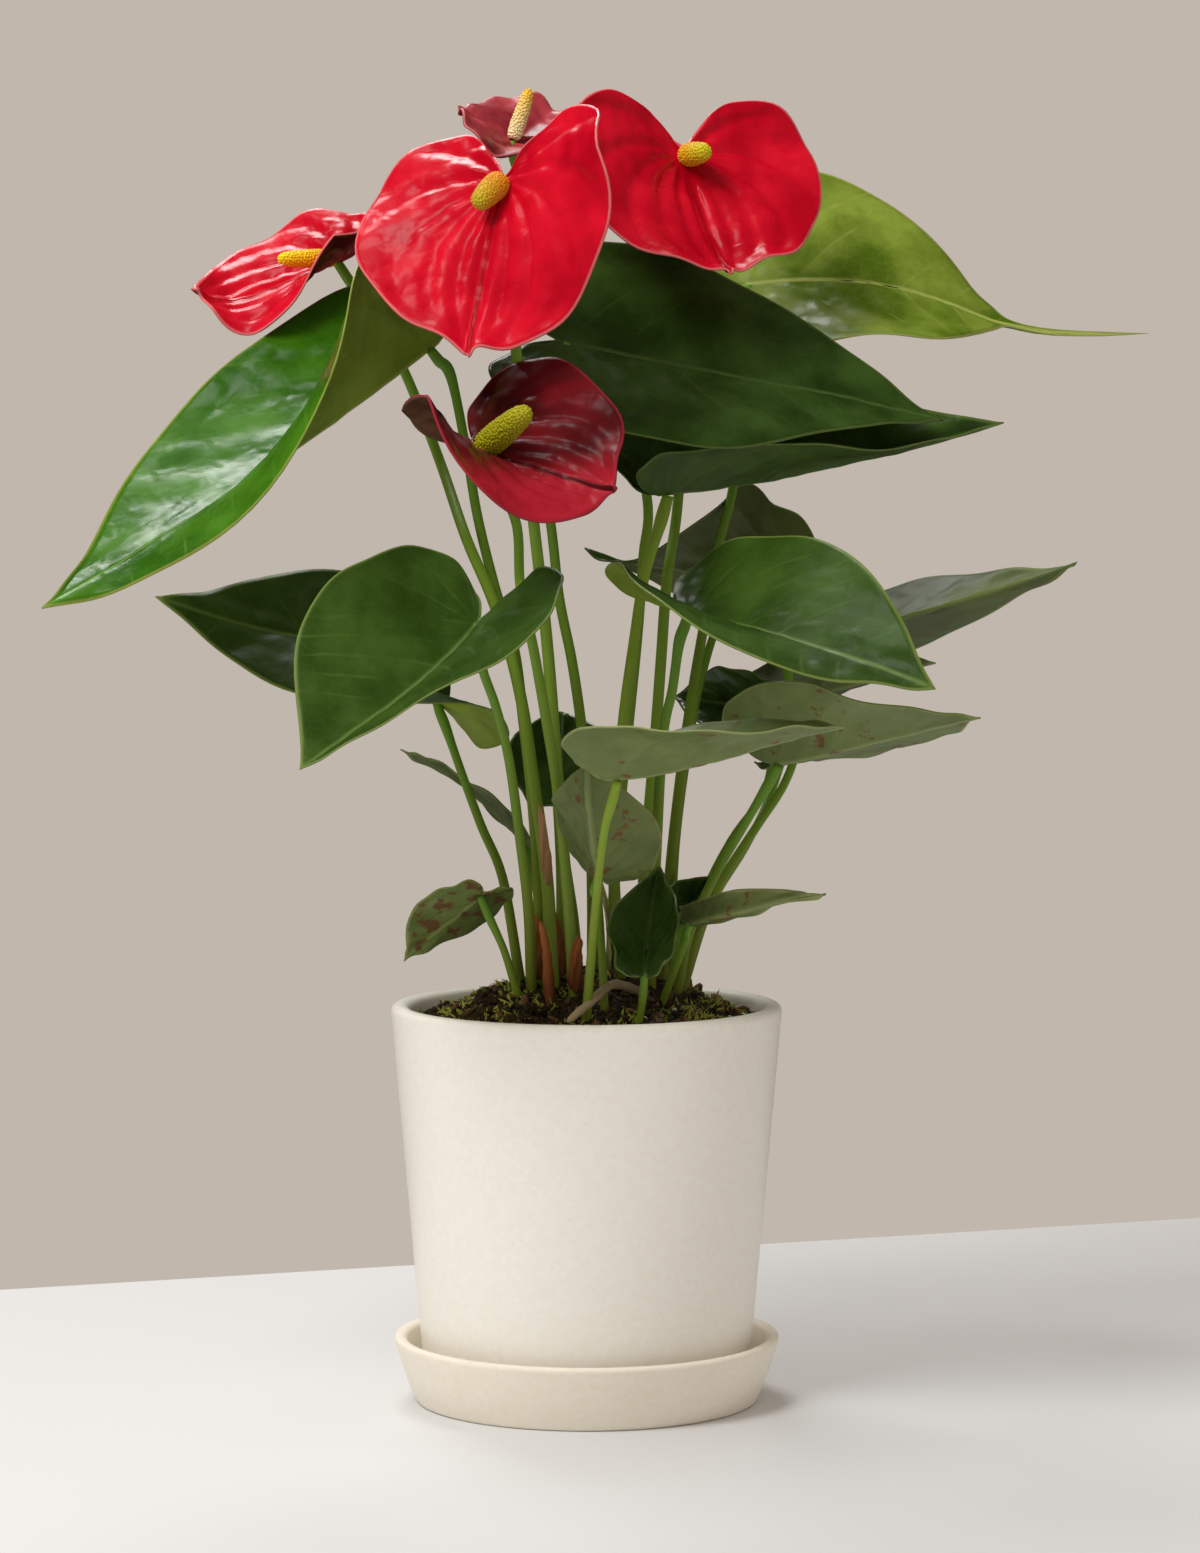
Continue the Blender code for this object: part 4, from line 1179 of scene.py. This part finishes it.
def scatter_tree(name, surface):
    """Geometry Nodes: lumps of one shape, spread over a surface, leaning at random and of uneven size.

    Spacing, Density, Clumping, Size, Lean, Variation, Rough, Rough Scale, Detail and Seed are its inputs.
    """
    tree = bpy.data.node_groups.new(name, "GeometryNodeTree")
    inputs = {"Surface": "NodeSocketGeometry", "Size": "NodeSocketVector", "Detail": "NodeSocketInt"}
    inputs |= {"Seed": "NodeSocketInt"}
    inputs |= dict.fromkeys(
        ("Spacing", "Density", "Lean", "Variation", "Rough", "Rough Scale", "Clumping"),
        "NodeSocketFloat",
    )
    for label, kind in inputs.items():
        tree.interface.new_socket(label, in_out="INPUT", socket_type=kind)
    tree.interface.new_socket("Bits", in_out="OUTPUT", socket_type="NodeSocketGeometry")
    given = add(tree, "NodeGroupInput").outputs
    # Patches are about 15 mm across
    patches = add(tree, "ShaderNodeTexNoise", {"Scale": 65.0, "Detail": 2.0}).outputs["Fac"]
    bare = add(tree, "ShaderNodeMath", {0: 1.0, 1: given["Clumping"]}, operation="SUBTRACT").outputs[0]
    share = add(
        tree, "ShaderNodeMapRange", {"Value": patches, "From Min": 0.5, "From Max": 0.6, "To Min": bare}
    ).outputs[0]
    spread = add(
        tree, "GeometryNodeDistributePointsOnFaces",
        {
            "Mesh": given["Surface"], "Distance Min": given["Spacing"],
            "Density Max": given["Density"], "Density Factor": share, "Seed": given["Seed"],
        },
        distribute_method="POISSON",
    )
    ball = add(tree, "GeometryNodeMeshIcoSphere", {"Radius": 1.0, "Subdivisions": given["Detail"]})
    ball = add(
        tree, "GeometryNodeTransform", {"Geometry": ball.outputs["Mesh"], "Scale": given["Size"]}
    )
    least = add(tree, "ShaderNodeMath", {0: 1.0, 1: given["Variation"]}, operation="SUBTRACT")
    most = add(tree, "ShaderNodeMath", {0: 1.0, 1: given["Variation"]}, operation="ADD")
    scale = add(
        tree, "FunctionNodeRandomValue",
        {2: least.outputs[0], 3: most.outputs[0], "Seed": given["Seed"]}, data_type="FLOAT",
    )
    lean = add(tree, "ShaderNodeMath", {0: given["Lean"], 1: -1.0}, operation="MULTIPLY")
    low = add(tree, "ShaderNodeCombineXYZ", {0: lean.outputs[0], 1: lean.outputs[0], 2: 0.0})
    high = add(tree, "ShaderNodeCombineXYZ", {0: given["Lean"], 1: given["Lean"], 2: 2 * np.pi})
    turn = add(
        tree, "FunctionNodeRandomValue",
        {0: low.outputs[0], 1: high.outputs[0], "Seed": given["Seed"]}, data_type="FLOAT_VECTOR",
    )
    turn = add(
        tree, "FunctionNodeRotateRotation",
        {"Rotation": spread.outputs["Rotation"], "Rotate By": turn.outputs[0]}, rotation_space="LOCAL",
    )
    bits = add(
        tree, "GeometryNodeInstanceOnPoints",
        {
            "Points": spread.outputs["Points"], "Instance": ball.outputs["Geometry"],
            "Rotation": turn.outputs[0], "Scale": scale.outputs[1],
        },
    )
    bits = add(tree, "GeometryNodeRealizeInstances", {"Geometry": bits.outputs[0]})
    place = add(tree, "GeometryNodeInputPosition").outputs[0]
    rough = add(
        tree, "ShaderNodeTexNoise",
        {"Vector": place, "Scale": given["Rough Scale"], "Detail": 2.0}, noise_dimensions="3D",
    )
    rough = add(
        tree, "ShaderNodeVectorMath", {0: rough.outputs["Color"], 1: (0.5, 0.5, 0.5)},
        operation="SUBTRACT",
    )
    rough = add(
        tree, "ShaderNodeVectorMath", {0: rough.outputs[0], "Scale": given["Rough"]}, operation="SCALE"
    )
    bits = add(
        tree, "GeometryNodeSetPosition", {"Geometry": bits.outputs[0], "Offset": rough.outputs[0]}
    )
    bits = add(
        tree, "GeometryNodeSetMaterial", {"Geometry": bits.outputs[0], "Material": surface}
    )
    add(tree, "NodeGroupOutput", {"Bits": bits.outputs[0]})
    return tree


def scattered(name, over, bits, surface):
    """The lumps that Geometry Nodes spread over a surface, as a piece of plain mesh."""
    holder = bpy.data.objects.new(name, over.copy())
    bpy.context.scene.collection.objects.link(holder)
    tree = scatter_tree(name, surface)
    modifier = holder.modifiers.new("Bits", "NODES")
    modifier.node_group = tree
    sizes = {
        "Spacing": bits.spacing * MM, "Density": float(bits.density),
        "Size": tuple(size * MM for size in bits.size), "Lean": float(np.radians(bits.tilt)),
        "Clumping": bits.clumping, "Variation": bits.variation, "Rough": bits.rough * MM,
        "Rough Scale": float(bits.rough_scale), "Detail": bits.subdivisions, "Seed": bits.seed,
    }
    for socket in tree.interface.items_tree:
        if socket.in_out == "INPUT" and socket.name in sizes:
            modifier[socket.identifier] = sizes[socket.name]
    bpy.context.view_layer.update()
    graph = bpy.context.evaluated_depsgraph_get()
    mesh = bpy.data.meshes.new_from_object(holder.evaluated_get(graph), depsgraph=graph)
    if not mesh.polygons:
        raise RuntimeError(f"{name} has no bits")
    holder.modifiers.remove(modifier)
    holder.data = mesh
    mesh.shade_smooth()
    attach(holder, BODY)
    return holder


def patch(places, faces):
    """A mesh that only says where bits go."""
    mesh = bpy.data.meshes.new("patch")
    mesh.from_pydata(lay_metres(places).tolist(), [], faces)
    mesh.update()
    return mesh


def spadix_piece(name, blade, spadix):
    """A spadix: a blunt spike covered with small round flowers."""
    joint, normal = above_rim(blade.attach), blade_normal(blade)
    tip = above_rim(spadix.tip)
    base = joint + normal * 0.8
    share = np.linspace(0, 1, 46)
    swell = np.interp(share, *zip(*SPADIX_SWELL))
    line = base + (tip - base) * share[:, None]
    places, faces, run = sweep(line, spadix.radius * 0.93 * swell, 32)
    low, high, round_out = SPADIX_LOOKS[name]
    core = run_skin(f"{name}_spadix", low, high, 0.5, 0.3, 0.1)
    made = piece_from(
        f"spadix_{name}", places, faces, [core], {"run": run}, [f"flower_{name}_spadix"]
    )
    girth = FLORET_RADIUS
    bits = Scatter(girth * 1.5, 4.0e6, (girth, girth, girth * round_out), 31, 5, 0.0, 500, 0.12, 1)
    scattered(f"florets_{name}", made.data, bits, core)
    return made


def sheath_piece(name, line, thick, sheath, surface):
    """A dry sheath: a thin curled strip that clasps a stem and tapers to a point."""
    steps = np.concatenate([[0], np.cumsum(np.linalg.norm(np.diff(line, axis=0), axis=1))])
    rows, columns = SHEATH_ROWS, SHEATH_COLUMNS
    share = np.linspace(0, 1, rows)
    start = sheath.start + SOCKET_DEPTH
    middle = np.column_stack([
        np.interp(start + sheath.length * share, steps, line[:, axis]) for axis in range(3)
    ])
    along = np.gradient(middle, axis=0)
    along /= np.linalg.norm(along, axis=1)[:, None]
    side, reach = np.radians(sheath.side), np.radians(sheath.reach)
    draw = np.random.default_rng(len(name))
    places = []
    for at, (place, forward) in enumerate(zip(middle, along)):
        turn = axes(forward, (np.cos(side), np.sin(side), 0.1))
        half = reach * min(1, 0.3 + 4 * share[at]) * (1 - share[at]) ** 0.75 + 0.02
        lift = thick + 0.4 + 0.25 * np.sin(9 * share[at]) + 2.4 * share[at] ** 2
        for angle in np.linspace(-half, half, columns):
            flare = lift + 0.35 * np.sin(7 * angle + 12 * share[at]) + draw.uniform(-0.08, 0.08)
            places.append(place + flare * (np.cos(angle) * turn[2] + np.sin(angle) * turn[1]))
    faces = []
    for at in range(rows - 1):
        for column in range(columns - 1):
            corner = at * columns + column
            faces.append((corner, corner + columns, corner + columns + 1, corner + 1))
    run = np.repeat(share, columns)
    made = piece_from(name, places, faces, [surface], {"run": run}, ())
    solid = made.modifiers.new("Thickness", "SOLIDIFY")
    solid.thickness = SHEATH_THICK * MM
    solid.offset = 0.0
    return made


def frame_of(place, turn):
    """The matrix of a light that shines along minus the first row of turn."""
    matrix = Matrix.Identity(4)
    for row in range(3):
        matrix[row][0], matrix[row][1], matrix[row][2] = turn[1][row], turn[2][row], turn[0][row]
        matrix[row][3] = place[row]
    return matrix


class VesselSizes(bpy.types.PropertyGroup):
    """Finish of the pot and its saucer."""

    glaze_light: bpy.props.StringProperty(
        name="Glaze", description="sRGB hex of the pot's glaze where it is thick", default="F5F2EA"
    )
    glaze_deep: bpy.props.StringProperty(
        name="Thin glaze", description="sRGB hex of the pot's glaze where it is thin", default="F2EEE4"
    )
    saucer_light: bpy.props.StringProperty(
        name="Saucer glaze", description="sRGB hex of the saucer's glaze where it is thick", default="F4EDDF"
    )
    saucer_deep: bpy.props.StringProperty(
        name="Thin saucer glaze", description="sRGB hex of the saucer's glaze where it is thin",
        default="F0E8D6",
    )
    gloss: bpy.props.FloatProperty(
        name="Roughness", description="Roughness of the matte glaze", default=0.42, min=0, max=1,
        subtype="FACTOR",
    )


class PlantSizes(bpy.types.PropertyGroup):
    """Sizes of the plant's skins and bits."""

    vein_width: bpy.props.FloatProperty(
        name="Vein width", description="Width of a leaf's side vein", default=0.9 * MM,
        unit="LENGTH", min=0,
    )
    quilt: bpy.props.FloatProperty(
        name="Quilt", description="Depth between small veins, in millimetres", default=0.5, min=0
    )
    spathe_quilt: bpy.props.FloatProperty(
        name="Spathe quilt", description="Depth of a spathe's small swellings, in millimetres",
        default=0.9, min=0,
    )
    knee: bpy.props.FloatProperty(
        name="Knee", description="How much thicker a leaf stalk is just under its blade",
        default=0.28, min=0, max=1, subtype="FACTOR",
    )


class StageSizes(bpy.types.PropertyGroup):
    """Colours and light of the stage."""

    floor: bpy.props.StringProperty(
        name="Floor", description="sRGB hex of the pale floor", default="DCDDDE"
    )
    backdrop: bpy.props.StringProperty(
        name="Backdrop", description="sRGB hex of the backdrop", default="C1B7AD"
    )
    key_power: bpy.props.FloatProperty(
        name="Key light", description="Power of the big soft light", default=17.0, min=0, unit="POWER"
    )


class PLANT_OT_vessel(bpy.types.Operator):
    """Turn the pot and its saucer in matte glazed stoneware"""

    bl_idname = "anthurium.vessel"
    bl_label = "Pot and saucer"

    def execute(self, context):
        looks = context.scene.anthurium_vessel
        # Glazed stoneware, cast and dipped: a soft even cream, faintly pitted, with few specks
        glaze = (looks.gloss, 420.0, 0.06)
        pot = grainy("cream_matte_glaze", looks.glaze_deep, looks.glaze_light, *glaze, specks="DCCFB4")
        dish = grainy(
            "cream_saucer_glaze", looks.saucer_deep, looks.saucer_light, *glaze, specks="D2C3A4"
        )
        turned("pot_body", pot_profile(), [pot], "pot", "pot_glaze")
        turned("saucer_dish", saucer_profile(), [dish], "saucer", "saucer_glaze")
        return {"FINISHED"}


class PLANT_OT_soil(bpy.types.Operator):
    """Lay the soil with its crumbs, bark, perlite, fibres and moss"""

    bl_idname = "anthurium.soil"
    bl_label = "Soil"

    def execute(self, context):
        # Peat soil, moist: dark and matte, with crumbs of 1 to 4 mm
        peat = grainy("moist_peat", "1A1209", "4A3820", 0.9, 420.0, 1.2, detail=8.0)
        bed = soil_piece([peat])
        top = [p.vertices[:] for p in bed.data.polygons if p.normal[2] > 0.3]
        where = patch([v.co / MM for v in bed.data.vertices], top)
        finishes = {
            "soil_crumbs": grainy("peat_crumbs", "130D07", "3E2E18", 0.92, 240.0, 0.5),
            # Composted bark: torn reddish-brown chips with a fibrous face
            "bark_chips": grainy("composted_bark", "3A2413", "7C5A35", 0.8, 200.0, 0.6),
            "moss_tufts": grainy("green_moss", "5E7016", "A8A83C", 0.75, 120.0, 0.1),
            # Perlite: white puffed glass, chalky
            "perlite": grainy("perlite", "B9B29E", "E4DFD0", 0.85, 500.0, 0.3),
            "root_fibres": grainy("dry_root_fibre", "4A3219", "8E6B40", 0.85, 300.0, 0.2),
        }
        for name, bits in SOIL_BITS.items():
            scattered(name, where, bits, finishes[name])
        return {"FINISHED"}


class PLANT_OT_leaves(bpy.types.Operator):
    """Grow the leaves with their veins, grooves and wavy edges"""

    bl_idname = "anthurium.leaves"
    bl_label = "Leaves"

    def execute(self, context):
        looks = context.scene.anthurium_plant
        # Anthurium leaf: a waxy cuticle over mottled green, paler and duller underneath
        kinds = {
            kind: blade_skin(f"leaf_{kind}", skin, looks.vein_width / MM, looks.quilt)
            for kind, skin in SKINS.items()
        }
        for seed, (name, (blade, _)) in enumerate(LEAVES.items()):
            skins = [kinds[kind] for kind in LEAF_SKINS[name]]
            blade_piece(
                f"leaf_{name}", blade, LEAF_OUTLINE, LEAF_VEINS, leaf_phase, 100 + seed, skins,
                f"leaf_{name}_blade",
            )
        return {"FINISHED"}


class PLANT_OT_flowers(bpy.types.Operator):
    """Grow the spathes and their spadices"""

    bl_idname = "anthurium.flowers"
    bl_label = "Flowers"

    def execute(self, context):
        looks = context.scene.anthurium_plant
        # The young spathe is darker towards its joint at the top and lighter towards its tip
        young = FLOWERS["young"][0]
        dark_top_heights = [(RIM_Z + end[2]) * MM for end in (young.tip, young.attach)]
        # Spathe: a lacquered-looking cuticle over deep red, with sunken veins and a painted highlight along
        # its rim
        kinds = {
            kind: blade_skin(
                f"spathe_{kind}", skin, looks.vein_width / MM, looks.spathe_quilt,
                dark_top_heights if kind == "young" else None,
            )
            for kind, skin in SPATHE_SKINS.items()
        }
        for seed, (name, (blade, _, spadix)) in enumerate(FLOWERS.items()):
            pair = SPATHE_PAIRS.get(name, ("red", "red_back"))
            blade_piece(
                f"spathe_{name}", blade, SPATHE_OUTLINE, SPATHE_VEINS, spathe_phase, 300 + seed,
                [kinds[kind] for kind in pair], f"flower_{name}_spathe",
            )
            spadix_piece(name, blade, spadix)
        return {"FINISHED"}


class PLANT_OT_stems(bpy.types.Operator):
    """Grow the leaf and flower stalks"""

    bl_idname = "anthurium.stems"
    bl_label = "Stems"

    def execute(self, context):
        looks = context.scene.anthurium_plant
        # Stalk: fleshy and smooth, browner at its foot and greener at its knee
        stalk = run_skin("leaf_stalk", "6E7A1C", "64902A", 0.5, 0.5, 0.15)
        light = run_skin("young_leaf_stalk", "6C7E20", "84A030", 0.48, 0.5, 0.15)
        flower = run_skin("flower_stalk", "74862A", "78A22E", 0.5, 0.5, 0.15)
        for name, (blade, stem) in LEAVES.items():
            skin = light if name in ("upper_under", "front_long") else stalk
            line = stem_line(blade, stem)
            stem_piece(
                f"stalk_{name}", line, stalk_radii(line, stem, looks.knee), [skin],
                f"leaf_{name}_stem",
            )
        for name, (blade, stem, _) in FLOWERS.items():
            line = stem_line(blade, stem)
            stem_piece(
                f"flower_stalk_{name}", line, stalk_radii(line, stem, FLOWER_KNEE), [flower],
                f"flower_{name}_stem",
            )
        return {"FINISHED"}


class PLANT_OT_roots(bpy.types.Operator):
    """Grow the aerial root and the dry sheaths about the stems"""

    bl_idname = "anthurium.roots"
    bl_label = "Root and sheaths"

    def execute(self, context):
        # Aerial root: greyish tan and corky
        cork = run_skin("corky_aerial_root", "7E6C50", "A08E6E", 0.7, 0.8, 0.4)
        # Dry sheath: papery and brown, with lengthwise fibres
        papers = {
            finish: run_skin(f"papery_sheath_{finish}", low, high, 0.65, 1.2, 0.5, (900.0, 900.0, 90.0))
            for finish, (low, high) in SHEATH_COLOURS.items()
        }
        for name, root in ROOTS.items():
            x, y = root.foot
            foot = np.array([x, y, soil_height(x, y)])
            lean = unit(above_rim(root.via[0]) - foot)
            line = [foot - lean * SOCKET_DEPTH, *map(above_rim, root.via)]
            line = smooth_line(line, STEM_SPAN_POINTS * 2 * (len(line) - 1) + 1)
            radii = np.linspace(root.thick, root.thin, len(line))
            radii = radii * (1 + 0.08 * np.sin(np.arange(len(line)) * 1.3))
            radii[-3:] *= (0.9, 0.7, 0.35)
            skin = cork if name == "aerial_root" else papers["brown"]
            stem_piece(f"{name}_growth", line, radii, [skin], name)
        plants = LEAVES | FLOWERS
        for name, sheath in SHEATHS.items():
            blade, stem, *_ = plants[sheath.stem]
            sheath_piece(name, stem_line(blade, stem), stem.thick, sheath, papers[sheath.finish])
        return {"FINISHED"}


class PLANT_OT_stage(bpy.types.Operator):
    """Set the floor, the lights and the camera"""

    bl_idname = "anthurium.stage"
    bl_label = "Stage"

    def execute(self, context):
        looks = context.scene.anthurium_stage
        scene = context.scene
        left, right = (np.array((*place, 0.0)) for place in TABLE_FAR_EDGE)
        run = unit(right - left)
        near = np.array((run[1], -run[0], 0.0))
        near *= TABLE_DEPTH
        far_left, far_right = left - run * TABLE_OVERRUN, right + run * TABLE_OVERRUN
        corners = [far_left, far_right, far_right + near, far_left + near]
        thick = np.array((0.0, 0.0, -TABLE_THICK))
        places = [*corners, *(corner + thick for corner in corners)]
        faces = [(3, 2, 1, 0), (4, 5, 6, 7)]
        faces += [(at, (at + 1) % 4, 4 + (at + 1) % 4, 4 + at) for at in range(4)]
        mesh = bpy.data.meshes.new("floor")
        mesh.from_pydata([tuple(place) for place in places], [], faces)
        floor = bpy.data.objects.new("floor", mesh)
        scene.collection.objects.link(floor)
        # Painted board: off-white and dull
        board, _, paint = new_material("painted_board")
        paint.inputs["Base Color"].default_value = linear(looks.floor)
        paint.inputs["Roughness"].default_value = 0.55
        mesh.materials.append(board)
        world = bpy.data.worlds.new("backdrop")
        world.use_nodes = True
        background = world.node_tree.nodes["Background"]
        background.inputs["Color"].default_value = linear(looks.backdrop)
        background.inputs["Strength"].default_value = 1.0
        world.cycles_visibility.glossy = False
        scene.world = world
        scene.view_settings.view_transform = "Standard"
        # The key lights the skins without a mirror image, and the sheen light gives their highlights
        for name, place, aim, size, power, glossy in (
            ("key", (-0.66, -0.75, 1.42), (0.0, 0.0, 0.2), 0.6, looks.key_power, False),
            ("sheen", (-0.5, -0.2, 1.6), (0.0, 0.0, 0.3), 0.4, looks.key_power * 0.16, True),
            ("rim", (-0.25, 0.75, 1.3), (0.0, 0.0, 0.3), 0.5, looks.key_power * 0.42, True),
        ):
            lamp = bpy.data.lights.new(name, "AREA")
            lamp.energy = power
            lamp.size = size
            made = bpy.data.objects.new(name, lamp)
            made.visible_glossy = glossy
            turn = axes(np.subtract(place, aim), (0.0, 0.0, 1.0))
            made.matrix_world = frame_of(place, turn)
            scene.collection.objects.link(made)
        eye = bpy.data.cameras.new("camera")
        eye.lens = CAMERA_LENS
        eye.sensor_width = CAMERA_SENSOR
        holder = bpy.data.objects.new("camera", eye)
        holder.location = CAMERA_PLACE
        holder.rotation_euler = Euler((np.radians(90 - CAMERA_DROP), 0, 0))
        scene.collection.objects.link(holder)
        scene.camera = holder
        return {"FINISHED"}


GROUPS = {
    "anthurium_vessel": VesselSizes, "anthurium_plant": PlantSizes, "anthurium_stage": StageSizes,
}
OPERATORS = (
    PLANT_OT_vessel, PLANT_OT_soil, PLANT_OT_leaves, PLANT_OT_flowers, PLANT_OT_stems, PLANT_OT_roots,
    PLANT_OT_stage,
)


class PLANT_PT_sidebar(bpy.types.Panel):
    """Lists the plant's pieces in the order that they are made."""

    bl_label = "Potted anthurium"
    bl_idname = "PLANT_PT_sidebar"
    bl_space_type = "VIEW_3D"
    bl_region_type = "UI"
    bl_category = "Anthurium"

    def draw(self, context):
        for group in GROUPS:
            looks = getattr(context.scene, group)
            for name in looks.__annotations__:
                self.layout.prop(looks, name)
        for operator in OPERATORS:
            self.layout.operator(operator.bl_idname)


CLASSES = (*GROUPS.values(), *OPERATORS, PLANT_PT_sidebar)


def register():
    for made in CLASSES:
        bpy.utils.register_class(made)
    for group, kind in GROUPS.items():
        setattr(bpy.types.Scene, group, bpy.props.PointerProperty(type=kind))


def unregister():
    for group in GROUPS:
        delattr(bpy.types.Scene, group)
    for made in reversed(CLASSES):
        bpy.utils.unregister_class(made)


def main():
    register()
    for old in ("Cube", "Light", "Camera"):
        if old in bpy.data.objects:
            bpy.data.objects.remove(bpy.data.objects[old], do_unlink=True)
    bpy.ops.anthurium.vessel()
    bpy.ops.anthurium.soil()
    bpy.ops.anthurium.leaves()
    bpy.ops.anthurium.flowers()
    bpy.ops.anthurium.stems()
    bpy.ops.anthurium.roots()
    bpy.ops.anthurium.stage()
    bpy.context.view_layer.update()


if __name__ == "__main__":
    main()
